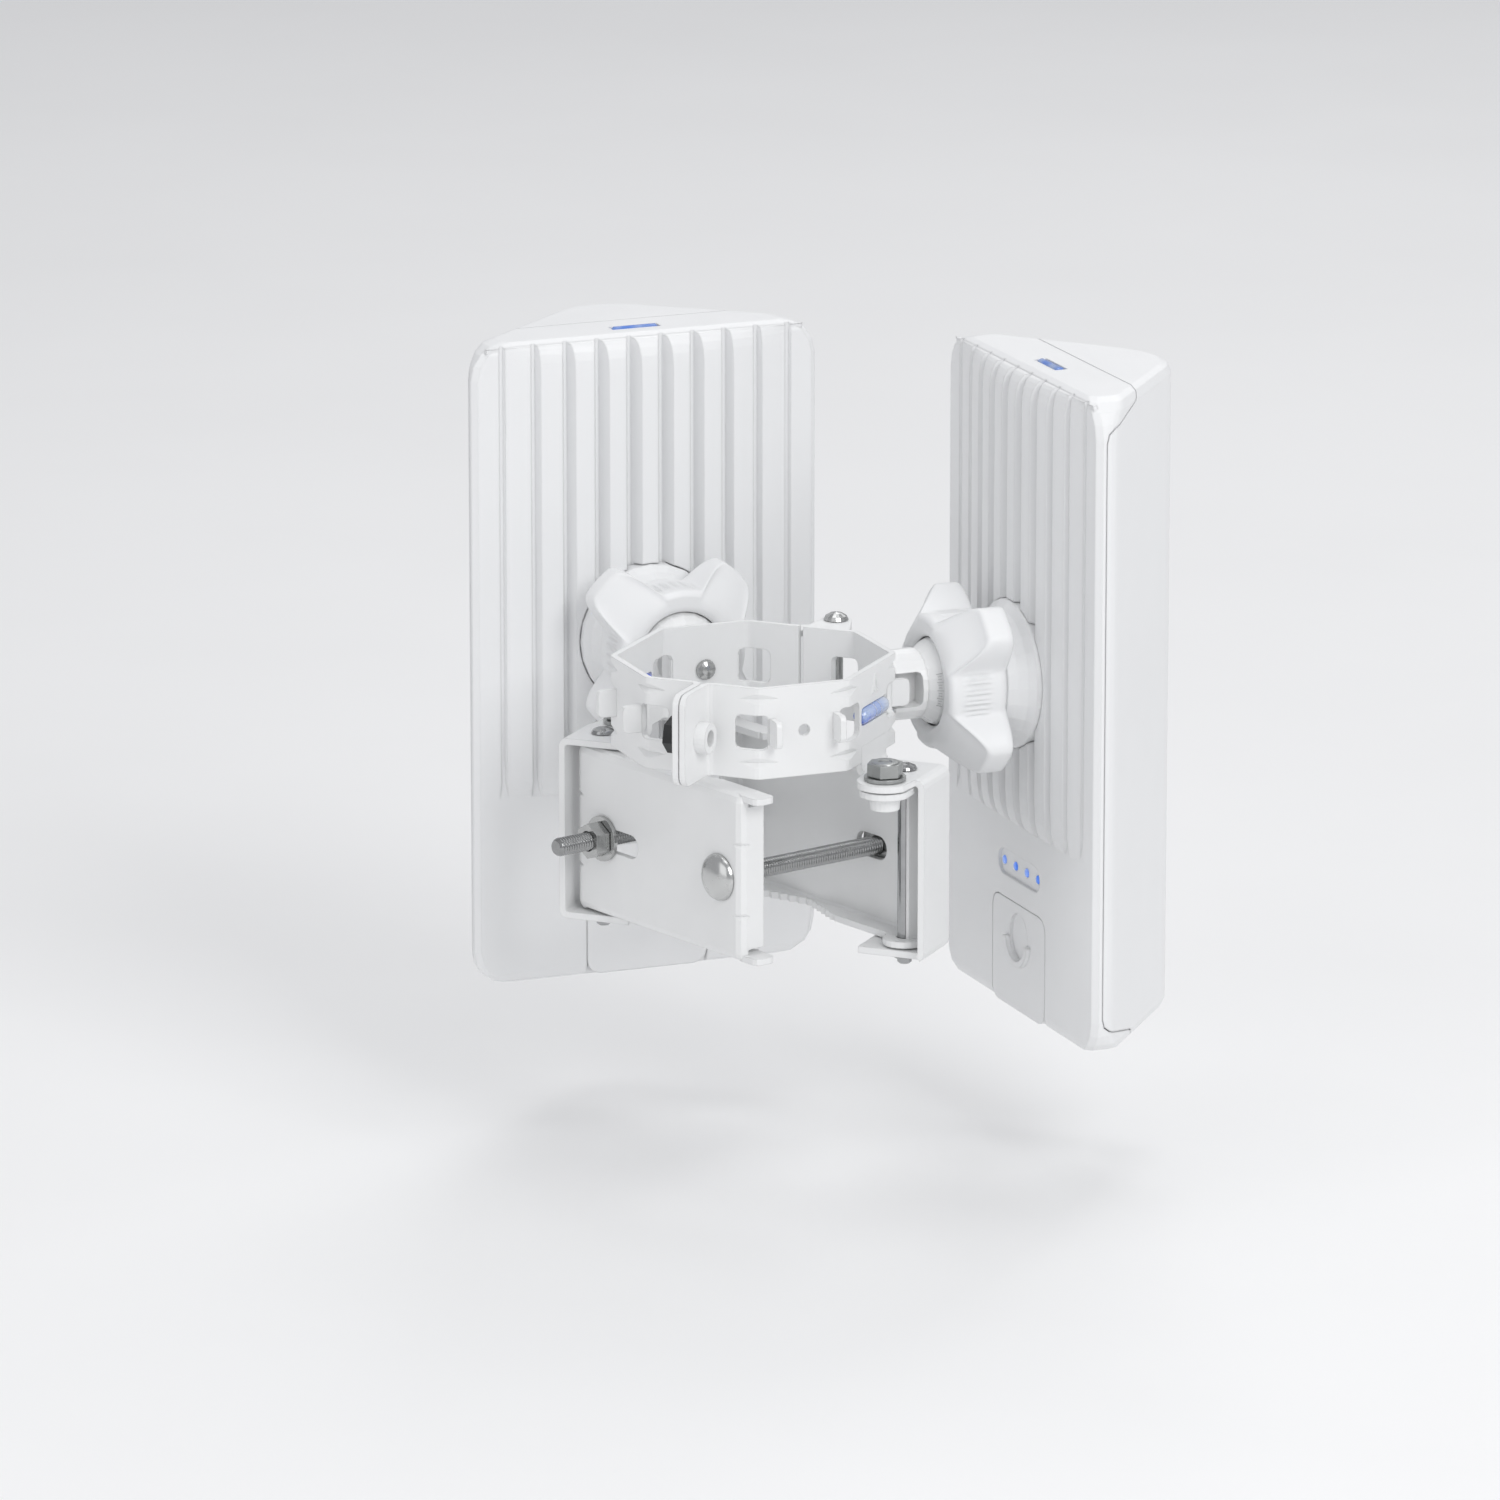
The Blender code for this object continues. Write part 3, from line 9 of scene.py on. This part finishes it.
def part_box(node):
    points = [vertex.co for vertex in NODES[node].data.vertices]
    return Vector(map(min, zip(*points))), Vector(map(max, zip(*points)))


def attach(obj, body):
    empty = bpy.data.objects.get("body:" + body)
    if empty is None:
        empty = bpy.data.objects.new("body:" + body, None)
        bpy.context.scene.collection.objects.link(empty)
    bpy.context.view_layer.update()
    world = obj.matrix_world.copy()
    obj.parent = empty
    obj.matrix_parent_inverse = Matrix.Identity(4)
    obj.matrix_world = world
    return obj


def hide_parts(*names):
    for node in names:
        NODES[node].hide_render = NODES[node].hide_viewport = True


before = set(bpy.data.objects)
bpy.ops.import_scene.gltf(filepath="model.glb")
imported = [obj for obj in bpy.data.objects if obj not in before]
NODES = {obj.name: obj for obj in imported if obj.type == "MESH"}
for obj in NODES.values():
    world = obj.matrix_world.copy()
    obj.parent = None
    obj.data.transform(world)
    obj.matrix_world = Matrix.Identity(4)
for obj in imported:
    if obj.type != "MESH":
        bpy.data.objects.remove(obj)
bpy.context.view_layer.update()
MM = 0.001
SIDES = ("right", "left")

# Places repeated from the CAD, in millimetres
AXIS_Z = 22.1                  # height of the ball centres
BALL_X = 87.0                  # collar's axis to a ball centre
BACK = 32.0                    # ball centre to a radio's flat back
PLAIN_OUT = 52.94              # collar's axis to a plain flat
BALL_R = 20.0
LED_STEP = 11.6
LED_R = 1.85
HEAD_UNDER = 41.3              # mast side of a clamp bolt's dome head, from the collar's axis
KNOB_BORE = 25.0
KNOB_FRONT = 14.8
KNOB_BACK = -11.0
KNOB_SADDLE = 28.0
KNOB_WING = 14.4
KNOB_RAKE = 0.92
FLOOR_Z = -0.19                # metres
SOCKET_R = 3.1                 # corner radius of a bolt head's six-sided socket

# Directions: out of the flat with the level vial and along it, across the mast and along the jaws
OUT = Vector((1, -1, 0)) / math.sqrt(2)
ALONG = Vector((1, 1, 0)) / math.sqrt(2)
JAW_N = Vector((math.cos(math.radians(16)), math.sin(math.radians(16)), 0))
JAW_T = Vector((JAW_N.y, -JAW_N.x, 0))


# ---------------------------------------------------------------- camera, light and floor

def studio():
    azimuth = math.radians(22.06)
    elevation = math.radians(14.64)
    distance = 4.338
    ahead = Vector((math.sin(azimuth) * math.cos(elevation),
                    math.cos(azimuth) * math.cos(elevation), -math.sin(elevation)))
    lens = bpy.data.cameras.new("camera")
    lens.lens = 254.4
    lens.sensor_width = 36.0
    lens.shift_x = -0.0021
    lens.shift_y = 0.0007
    lens.clip_end = 50
    camera = bpy.data.objects.new("camera", lens)
    camera.location = ahead * -distance
    camera.rotation_euler = ahead.to_track_quat('-Z', 'Y').to_euler()
    bpy.context.scene.collection.objects.link(camera)
    bpy.context.scene.camera = camera

    for name, place, size, power in (
            ("key", (0.5, -2.5, 1.7), 1.4, 34), ("fill", (-2.2, -1.0, 1.0), 2.0, 9),
            ("rim", (1.4, 1.8, 2.0), 1.5, 14), ("top", (0.0, 0.0, 2.6), 1.6, 14)):
        light = bpy.data.lights.new(name, 'AREA')
        light.size = size
        light.energy = power
        lamp = bpy.data.objects.new(name, light)
        lamp.location = place
        aim = Vector((0.03, 0.03, 0)) - Vector(place)
        lamp.rotation_euler = aim.to_track_quat('-Z', 'Y').to_euler()
        bpy.context.scene.collection.objects.link(lamp)

    world = bpy.data.worlds.new("studio")
    world.use_nodes = True
    world.node_tree.nodes["Background"].inputs["Color"].default_value = (0.96, 0.97, 1.0, 1)
    world.node_tree.nodes["Background"].inputs["Strength"].default_value = 0.5
    bpy.context.scene.world = world
    bpy.context.scene.view_settings.view_transform = 'Standard'

    bpy.ops.mesh.primitive_plane_add(size=14, location=(0, 0, FLOOR_Z))
    floor = bpy.context.object
    floor.name = "floor"
    surface = Surface("floor_paper", (0.93, 0.93, 0.93), 0.7)
    surface.mottle(0.02, 3)
    surface.give(floor)


# ---------------------------------------------------------------- finishes

class Surface:
    """A procedural finish: a Principled shader with colour, roughness and bump built from noise."""

    def __init__(self, name, colour, roughness, metallic=0.0):
        self.material = bpy.data.materials.new(name)
        self.material.use_nodes = True
        self.tree = self.material.node_tree
        self.shader = self.tree.nodes["Principled BSDF"]
        self.colour = (*colour, 1.0)
        self.roughness = roughness
        self.shader.inputs["Base Color"].default_value = self.colour
        self.shader.inputs["Roughness"].default_value = roughness
        self.shader.inputs["Metallic"].default_value = metallic
        self.place = self.node('ShaderNodeTexCoord').outputs["Object"]
        self.tint = None
        self.normal = None

    def node(self, kind, **inputs):
        made = self.tree.nodes.new(kind)
        for key, value in inputs.items():
            made.inputs[key.replace("_", " ")].default_value = value
        return made

    def link(self, source, target):
        self.tree.links.new(source, target)

    def noise(self, scale, detail=4.0, stretch=None):
        made = self.node('ShaderNodeTexNoise', Scale=scale, Detail=detail, Roughness=0.6)
        source = self.place
        if stretch is not None:
            mapping = self.node('ShaderNodeMapping')
            mapping.inputs["Scale"].default_value = stretch
            self.link(self.place, mapping.inputs["Vector"])
            source = mapping.outputs["Vector"]
        self.link(source, made.inputs["Vector"])
        return made.outputs["Fac"]

    def along(self, axis):
        """Distance along a fixed direction of the object, in metres."""
        made = self.tree.nodes.new('ShaderNodeVectorMath')
        made.operation = 'DOT_PRODUCT'
        made.inputs[1].default_value = axis
        self.link(self.place, made.inputs[0])
        return made.outputs["Value"]

    def ramp(self, source, low, high, out_low=0.0, out_high=1.0):
        made = self.tree.nodes.new('ShaderNodeMapRange')
        made.inputs["From Min"].default_value = low
        made.inputs["From Max"].default_value = high
        made.inputs["To Min"].default_value = out_low
        made.inputs["To Max"].default_value = out_high
        self.link(source, made.inputs["Value"])
        return made.outputs["Result"]

    def mix(self, mask, other):
        """Lays another colour over what is there, where the mask is 1."""
        made = self.tree.nodes.new('ShaderNodeMix')
        made.data_type = 'RGBA'
        self.link(mask, made.inputs[0])
        if self.tint is None:
            made.inputs[6].default_value = self.colour
        else:
            self.link(self.tint, made.inputs[6])
        made.inputs[7].default_value = (*other, 1.0)
        self.tint = made.outputs[2]
        return self

    def mottle(self, amount, scale):
        """Slow, faint change of colour over the surface."""
        mask = self.ramp(self.noise(scale, 3.0), 0.35, 0.7)
        darker = [c * (1 - amount) for c in self.colour[:3]]
        return self.mix(mask, darker)

    def uneven(self, amount, scale, stretch=None):
        """Roughness that varies with a noise."""
        result = self.ramp(self.noise(scale, 5.0, stretch), 0.3, 0.7,
                           max(self.roughness - amount, 0.02), self.roughness + amount)
        self.link(result, self.shader.inputs["Roughness"])
        return self

    def bumps(self, scale, depth, stretch=None, detail=3.0):
        """Fine relief of a given depth, in metres."""
        return self.relief(self.noise(scale, detail, stretch), depth)

    def relief(self, source, depth):
        bump = self.node('ShaderNodeBump', Strength=1.0, Distance=depth)
        self.link(source, bump.inputs["Height"])
        if self.normal is not None:
            self.link(self.normal, bump.inputs["Normal"])
        self.normal = bump.outputs["Normal"]
        return self

    def soft_edges(self, radius):
        """Edges that catch light as if rounded."""
        bevel = self.node('ShaderNodeBevel', Radius=radius)
        bevel.samples = 4
        self.normal = bevel.outputs["Normal"]
        return self

    def worn_edges(self, radius, colour, strength=0.5):
        """A paler or darker line along edges, broken up by noise."""
        bevel = self.node('ShaderNodeBevel', Radius=radius)
        bevel.samples = 4
        geometry = self.node('ShaderNodeNewGeometry')
        dot = self.node('ShaderNodeVectorMath')
        dot.operation = 'DOT_PRODUCT'
        self.link(bevel.outputs["Normal"], dot.inputs[0])
        self.link(geometry.outputs["Normal"], dot.inputs[1])
        edge = self.ramp(dot.outputs["Value"], 0.96, 0.8, 0.0, strength)
        broken = self.node('ShaderNodeMath')
        broken.operation = 'MULTIPLY'
        self.link(edge, broken.inputs[0])
        self.link(self.ramp(self.noise(260, 4.0), 0.35, 0.65), broken.inputs[1])
        return self.mix(broken.outputs[0], colour)

    def give(self, *objects):
        if self.tint is not None:
            self.link(self.tint, self.shader.inputs["Base Color"])
        if self.normal is not None:
            self.link(self.normal, self.shader.inputs["Normal"])
        for one in objects:
            if not one.material_slots:
                one.data.materials.append(None)
            for held in one.material_slots:
                held.link = 'OBJECT'
                held.material = self.material
        return self


def housing_plastic(name, colour=(0.86, 0.865, 0.87), roughness=0.42):
    surface = Surface(name, colour, roughness)
    surface.shader.inputs["Specular IOR Level"].default_value = 0.45
    surface.soft_edges(0.0012)
    surface.bumps(2600, 0.00002).bumps(90, 0.00002)
    surface.mottle(0.02, 9).worn_edges(0.0006, (0.93, 0.93, 0.93), 0.3)
    return surface.uneven(0.06, 45)


def powder_coat(name, colour=(0.84, 0.845, 0.845), roughness=0.36):
    surface = Surface(name, colour, roughness)
    surface.soft_edges(0.0006)
    surface.bumps(900, 0.00004).bumps(3500, 0.00001)
    surface.mottle(0.035, 22).worn_edges(0.0005, (0.72, 0.72, 0.70), 0.35)
    return surface.uneven(0.07, 70)


def zinc(name, colour=(0.58, 0.585, 0.58), roughness=0.22):
    surface = Surface(name, colour, roughness, 1.0)
    surface.soft_edges(0.0003)
    surface.bumps(700, 0.000006).bumps(400, 0.000006, (1, 1, 6))
    surface.mottle(0.1, 160).worn_edges(0.0004, (0.80, 0.80, 0.80), 0.5)
    return surface.uneven(0.06, 240)


def blacked(name, colour=(0.035, 0.036, 0.038)):
    surface = Surface(name, colour, 0.38, 0.6)
    surface.soft_edges(0.0003)
    surface.bumps(1200, 0.00001)
    surface.mottle(0.3, 200).worn_edges(0.0004, (0.25, 0.25, 0.25), 0.6)
    return surface.uneven(0.1, 300)


def clear_blue(name, colour=(0.16, 0.34, 0.93)):
    surface = Surface(name, colour, 0.1)
    surface.shader.inputs["Transmission Weight"].default_value = 0.3
    surface.shader.inputs["Coat Weight"].default_value = 0.6
    surface.shader.inputs["IOR"].default_value = 1.49
    surface.soft_edges(0.0002)
    surface.mix(surface.ramp(surface.noise(95, 1.5), 0.42, 0.62), (0.55, 0.68, 0.96))
    surface.bumps(500, 0.000005)
    return surface.uneven(0.04, 200)


def rubber(name):
    surface = Surface(name, (0.62, 0.62, 0.62), 0.72)
    surface.soft_edges(0.0003)
    surface.bumps(1800, 0.00002)
    surface.mottle(0.1, 90)
    return surface.uneven(0.08, 120)


def solder_mask(name):
    surface = Surface(name, (0.02, 0.15, 0.06), 0.35)
    surface.soft_edges(0.0002)
    surface.bumps(700, 0.00002)
    surface.mottle(0.35, 220)
    return surface.uneven(0.1, 160)


def copper(name):
    surface = Surface(name, (0.75, 0.42, 0.2), 0.33, 0.9)
    surface.soft_edges(0.0002)
    surface.bumps(900, 0.00001)
    surface.mottle(0.2, 90)
    return surface.uneven(0.1, 180)


def of(*names):
    """The frame's objects whose names start with any of these."""
    return [NODES[key] for key in sorted(NODES) if key.startswith(names)]


# ---------------------------------------------------------------- building small pieces

def side_matrix(side):
    """From the right radio's place, measured from its ball centre, to either side's."""
    if side == "right":
        return Matrix.Translation((BALL_X * MM, 0, AXIS_Z * MM))
    return Matrix.Translation((0, BALL_X * MM, AXIS_Z * MM)) @ Matrix.Rotation(math.pi / 2, 4, 'Z')


def about_axis(side):
    """From a place measured from the collar's axis on the right half to either half's."""
    return Matrix.Identity(4) if side == "right" else Matrix.Rotation(math.pi, 4, 'Z')


def piece(name, bm, matrix, body, smooth=35):
    """One visible piece, built in millimetres in a local frame."""
    bmesh.ops.scale(bm, vec=(MM, MM, MM), verts=bm.verts)
    bmesh.ops.transform(bm, matrix=matrix, verts=bm.verts)
    bmesh.ops.recalc_face_normals(bm, faces=bm.faces)
    mesh = bpy.data.meshes.new(name)
    bm.to_mesh(mesh)
    bm.free()
    mesh.shade_smooth()
    mesh.set_sharp_from_angle(angle=math.radians(smooth))
    made = bpy.data.objects.new(name, mesh)
    bpy.context.scene.collection.objects.link(made)
    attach(made, body)
    return made


def loops_to_faces(bm, rows, closed=False):
    """Joins rings of points, each ring closed on itself."""
    made = [[bm.verts.new(p) for p in row] for row in rows]
    pairs = list(zip(made, made[1:]))
    if closed:
        pairs.append((made[-1], made[0]))
    for first, second in pairs:
        for i in range(len(first)):
            j = (i + 1) % len(first)
            bm.faces.new((first[i], first[j], second[j], second[i]))
    return made


def capped(bm, rows):
    """Joins rings of points and closes both ends."""
    made = loops_to_faces(bm, rows)
    bm.faces.new(made[0])
    bm.faces.new(made[-1])


def ring_points(radius, x, count=32, centre=(0.0, 0.0)):
    return [(x, centre[0] + radius * math.cos(math.tau * i / count),
             centre[1] + radius * math.sin(math.tau * i / count)) for i in range(count)]


def knob(side):
    """The lock knob: four flat-ended wings, raked back faces and ribbed grips in the saddles."""
    count = 288
    bore, front, back = KNOB_BORE, KNOB_FRONT, KNOB_BACK
    saddle, reach, rake = KNOB_SADDLE, KNOB_WING, KNOB_RAKE

    def ribs(angle, share):
        off = (math.degrees(angle) + 45) % 90 - 45
        if abs(off) > 20:
            return 0.0
        fade = min(1.0, (20 - abs(off)) / 1.5) * min(1.0, max(0.0, (share - 0.16) / 0.12))
        fade *= min(1.0, max(0.0, (0.86 - share) / 0.12))
        return 0.9 * fade * (0.5 + 0.5 * math.cos(math.tau * off / 4.4)) ** 2

    columns = []
    for i in range(count):
        angle = math.tau * i / count
        off = abs((math.degrees(angle) % 90) - 45)
        share = min(max((off - 9.0) / 20.0, 0.0), 1.0)
        wing = 1 - share * share * (3 - 2 * share)
        radius = saddle + reach * wing
        rim = back + rake * reach * wing
        points = [(bore, front), (radius - 3.4, front), (radius - 1.9, front - 0.2),
                  (radius - 0.8, front - 0.8), (radius - 0.2, front - 1.8), (radius, front - 3.2)]
        for k in range(1, 17):
            share = k / 16
            x = front - 3.2 + (rim + 2.6 - front + 3.2) * share
            hollow = 0.7 * math.sin(math.pi * share) * (1 - wing)
            points.append((radius - hollow + ribs(angle, share), x))
        points += [(radius - 0.25, rim + 1.5), (radius - 0.9, rim + 0.6),
                   (radius - 1.9, rim + 0.15), (radius - 2.6, rim - 0.15)]
        inner = saddle - 3.6
        for k in (0.35, 0.7, 1.0):
            points.append((radius - 2.6 + (inner - radius + 2.6) * k,
                           rim - 0.15 + (back - rim + 0.15) * k))
        points += [(21.6, back), (20.6, back + 0.2), (18.9, back + 2.0), (18.5, back + 2.7),
                   (bore, -4.5)]
        columns.append([(x, r * math.cos(angle), r * math.sin(angle)) for r, x in points])
    bm = bmesh.new()
    loops_to_faces(bm, columns, closed=True)
    made = piece("knob_shell_" + side, bm, side_matrix(side), "knob_" + side, 50)
    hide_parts("lock_knob_" + side)
    return made


def threaded_bolt(letter, body):
    """A dome-headed square-neck bolt with its thread cut as a real helix."""
    node = NODES["clamp_bolt_" + letter]
    spots = [v.co / MM for v in node.data.vertices]
    ways = [[p.dot(way) for p in spots] for way in (JAW_N, JAW_T, Vector((0, 0, 1)))]
    middle = [(min(w) + max(w)) / 2 for w in ways]
    sign = 1 if abs(max(ways[0])) > abs(min(ways[0])) else -1
    tip = max(ways[0]) if sign > 0 else -min(ways[0])
    under = -HEAD_UNDER
    pitch, count = 1.25, 28
    rows = []

    def row(x, radius):
        made = []
        for i in range(count):
            angle = math.tau * i / count
            r = radius(angle) if callable(radius) else radius
            made.append((x, r * math.cos(angle), r * math.sin(angle)))
        rows.append(made)

    for k in range(1, 9):
        turn = math.pi / 2 * k / 8
        row(under - 4.7 * math.cos(turn), 9.9 * math.sin(turn))
    row(under - 0.1, 9.85)
    row(under, 9.5)
    for x in (under, under + 3.0):
        row(x, lambda a: min(4.1 / max(abs(math.cos(a)), abs(math.sin(a))), 5.2))
    row(under + 3.2, 3.95)
    start = under + 9.0
    row(start, 3.95)
    steps = int((tip - 1.2 - start) / (pitch / 4))
    for k in range(1, steps + 1):
        x = start + k * pitch / 4
        ease = min(1.0, k / 8)
        row(x, lambda a, x=x, ease=ease: 4.0 - 0.68 * ease * abs(
            2 * (((x / pitch) - a / math.tau) % 1.0) - 1))
    row(tip - 0.9, 3.6)
    row(tip, 2.9)
    bm = bmesh.new()
    capped(bm, rows)
    axis = JAW_N * sign
    across = Vector((0, 0, 1)).cross(axis)
    centre = JAW_T * middle[1] + Vector((0, 0, middle[2]))
    place = Matrix((
        (axis.x, across.x, 0, centre.x * MM), (axis.y, across.y, 0, centre.y * MM),
        (0, 0, 1, centre.z * MM), (0, 0, 0, 1)))
    done = piece("threaded_bolt_" + letter, bm, place, body, 40)
    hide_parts("clamp_bolt_" + letter)
    finish = zinc("bolt_steel_" + letter, (0.36, 0.365, 0.365), 0.24)
    finish.mix(finish.ramp(finish.along(axis), -0.0395, -0.0405), (0.6, 0.605, 0.6))
    finish.give(done)


def absorb(bm, part, matrix):
    """Moves one small bmesh into place inside another."""
    bmesh.ops.transform(part, matrix=matrix, verts=part.verts)
    mesh = bpy.data.meshes.new("absorbed")
    part.to_mesh(mesh)
    part.free()
    bm.from_mesh(mesh)
    bpy.data.meshes.remove(mesh)


def tick(low, high, ease=0.3):
    """A small block with its edges eased."""
    part = bmesh.new()
    bmesh.ops.create_cube(part, size=1.0)
    size = [b - a for a, b in zip(low, high)]
    bmesh.ops.scale(part, vec=size, verts=part.verts)
    bmesh.ops.translate(part, vec=[(a + b) / 2 for a, b in zip(low, high)], verts=part.verts)
    bmesh.ops.bevel(part, geom=list(part.edges), offset=min(size) * ease, segments=2,
                    affect='EDGES', profile=0.5)
    return part


def ball_scale(side):
    """Graduation lines and an index line standing just proud of the ball's sides."""
    bm = bmesh.new()
    ring = -10.9
    drop = math.sqrt(BALL_R ** 2 - ring ** 2)
    slope = math.asin(-ring / BALL_R)
    for sign in (-1, 1):
        for i in range(-6, 7):
            tall = 2.6 if i % 3 == 0 else 1.6
            line = tick((-tall / 2, -0.13, -0.15), (tall / 2, 0.13, 0.13))
            lean = Matrix.Rotation(-slope, 4, 'Y')
            out = Matrix.Translation((ring, 0, drop))
            spin = Matrix.Rotation(sign * math.pi / 2 + math.radians(4.0 * i), 4, 'X')
            absorb(bm, line, spin @ out @ lean)
    return piece("ball_scale_" + side, bm, side_matrix(side), "mount")


def up_arrow(side):
    """The small raised arrowhead above the collar's level vial."""
    bm = bmesh.new()
    up = Vector((0, 0, 1))
    outer = [(-3.4, 29.8), (3.4, 29.8), (0.0, 37.8)]
    inner = [(-2.15, 30.65), (2.15, 30.65), (0.0, 35.6)]
    centre = OUT * PLAIN_OUT + ALONG * 2.0
    rows = []
    for loop, height in ((outer, -0.2), (outer, 0.5), (inner, 0.5), (inner, -0.2)):
        rows.append([centre + ALONG * x + up * z + OUT * height for x, z in loop])
    loops_to_faces(bm, rows, closed=True)
    bmesh.ops.bevel(bm, geom=list(bm.edges), offset=0.1, segments=1, affect='EDGES', profile=0.5)
    return piece("up_arrow_" + side, bm, about_axis(side), "mount")


def vial_finish(side):
    """The level vial's liquid: deep blue at one end, fading to pale at the other."""
    low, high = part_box("level_vial_" + side)
    axis = ALONG if side == "right" else -ALONG
    middle = ((Vector(low) + Vector(high)) / 2).dot(axis)
    surface = clear_blue("vial_liquid_" + side, (0.09, 0.20, 0.98))
    place = surface.along(axis)
    surface.mix(surface.ramp(place, middle - 0.0085, middle - 0.002), (0.45, 0.58, 0.97))
    surface.mix(surface.ramp(place, middle + 0.002, middle + 0.009), (0.76, 0.83, 0.96))
    return surface


def vial_marks(side):
    """Two fine rings printed round the collar's level vial, and its bubble."""
    low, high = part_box("level_vial_" + side)
    middle = (Vector(low) + Vector(high)) / 2 / MM
    axis = ALONG if side == "right" else -ALONG
    aim = Vector((1, 0, 0)).rotation_difference(axis).to_matrix().to_4x4()
    place = Matrix.Translation(middle * MM) @ aim
    bm = bmesh.new()
    for x in (-2.6, 2.6):
        rows = [ring_points(3.42, x - 0.2), ring_points(3.6, x - 0.15), ring_points(3.6, x + 0.15),
                ring_points(3.42, x + 0.2)]
        loops_to_faces(bm, rows, closed=True)
    marks = piece("vial_marks_" + side, bm, place, "mount")
    bm = bmesh.new()
    bmesh.ops.create_uvsphere(bm, u_segments=24, v_segments=14, radius=1.0)
    bmesh.ops.scale(bm, vec=(2.2, 1.0, 0.55), verts=bm.verts)
    bmesh.ops.transform(bm, matrix=Matrix.Translation((0, 0, 3.2)), verts=bm.verts)
    bubble = piece("vial_bubble_" + side, bm, place, "mount")
    return marks, bubble


def bolt_dress(name, top, axis, width, body):
    """Chamfer ring and socket of a hex head: a raised round face with a six-sided recess."""
    aim = Vector((1, 0, 0)).rotation_difference(Vector(axis)).to_matrix().to_4x4()
    place = Matrix.Translation(Vector(top) * MM) @ aim
    bm = bmesh.new()
    hexagon = [(SOCKET_R * math.cos(math.tau * i / 6), SOCKET_R * math.sin(math.tau * i / 6))
               for i in range(6)]
    fine = []
    for i in range(6):
        a = Vector(hexagon[i])
        b = Vector(hexagon[(i + 1) % 6])
        fine += [a.lerp(b, k / 6) for k in range(6)]
    rim = [Vector((math.cos(math.tau * i / 36), math.sin(math.tau * i / 36))) * width * 0.46
           for i in range(36)]
    rows = [[(-0.15, *p) for p in rim], [(0.35, *(p * 0.97)) for p in rim],
            [(0.45, *(p * 0.92)) for p in rim], [(0.4, *p) for p in fine],
            [(0.06, *(p * 0.94)) for p in fine], [(0.05, *(p * 0.1)) for p in fine]]
    made = loops_to_faces(bm, rows)
    bm.faces.new(made[-1])
    bm.faces.new(made[0])
    return piece(name, bm, place, body)


def lens_caps(side):
    """Four clear domes over the status lights."""
    bm = bmesh.new()
    low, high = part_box("light_guide_" + side)
    z = (low[2] + high[2]) / 2 / MM - AXIS_Z
    for i in range(4):
        u = (i - 1.5) * LED_STEP
        rows = [ring_points(LED_R, BACK + 1.25, 24, (u, z))]
        for k in range(5):
            angle = math.pi / 2 * k / 5
            rows.append(ring_points(LED_R * math.cos(angle), BACK + 1.15 - 0.75 * math.sin(angle),
                                    24, (u, z)))
        capped(bm, rows)
    return piece("lens_caps_" + side, bm, side_matrix(side), "radio_" + side)


# ---------------------------------------------------------------- dress the frame

studio()

PLASTIC = housing_plastic("housing_white")
PLASTIC.give(*of("rear_shell", "radome", "cable_door", "ball_socket", "lock_knob"))
COAT = powder_coat("coat_white")
COAT.give(*of("collar", "jaw_"))
ARM_COAT = powder_coat("arm_coat", (0.86, 0.865, 0.865), 0.33)
ARM_COAT.give(*of("ball_arm"))
ZINC = zinc("zinc_plate", (0.5, 0.505, 0.5))
ZINC.give(*of("arm_screw", "clamp_", "joint_washer", "hinge_rivet"))
PIN = zinc("pin_steel", (0.40, 0.405, 0.41), 0.16)
PIN.give(*of("pivot_"))
DULL = zinc("zinc_dull", (0.40, 0.41, 0.405), 0.34)
DULL.give(*of("lock_bolt", "lock_washer"))
BLACK_STEEL = blacked("black_oxide")
BLACK_STEEL.give(*of("joint_bolt"))
BLACK_PLASTIC = blacked("black_moulding", (0.03, 0.03, 0.032))
BLACK_PLASTIC.shader.inputs["Metallic"].default_value = 0.0
BLACK_PLASTIC.give(*of("ball_ring", "ethernet_jack"))
RUBBER = rubber("gasket_rubber")
RUBBER.give(*of("seam_gasket"))
MASK = solder_mask("solder_mask")
MASK.give(*of("main_board"))
COPPER = copper("antenna_copper")
COPPER.give(*of("antenna_array"))
VIAL = clear_blue("vial_blue")
VIAL.give(*of("top_vial"))
LIGHT = clear_blue("light_blue", (0.06, 0.26, 0.85))
LIGHT.shader.inputs["Emission Color"].default_value = (0.08, 0.28, 0.85, 1)
LIGHT.shader.inputs["Emission Strength"].default_value = 0.22
LIGHT.give(*of("light_guide"))
TICK = powder_coat("scale_grey", (0.62, 0.625, 0.63), 0.4)
MARK = housing_plastic("mark_white", (0.9, 0.93, 1.0), 0.3)
BUBBLE = clear_blue("bubble_pale", (0.5, 0.66, 0.97))

for side in SIDES:
    vial_finish(side).give(*of("level_vial_" + side))
    PLASTIC.give(knob(side))
    TICK.give(ball_scale(side))
    COAT.give(up_arrow(side))
    marks, bubble = vial_marks(side)
    MARK.give(marks)
    BUBBLE.give(bubble)
    LIGHT.give(lens_caps(side))
    jaw_body = "rear_jaw" if side == "right" else "front_jaw"
    low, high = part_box("lock_bolt_" + side)
    top = ((low[0] + high[0]) / 2 / MM, (low[1] + high[1]) / 2 / MM, high[2] / MM)
    DULL.give(bolt_dress("lock_head_" + side, top, (0, 0, 1), 13.0, jaw_body))

for letter, jaw_body in (("a", "front_jaw"), ("b", "rear_jaw")):
    threaded_bolt(letter, jaw_body)
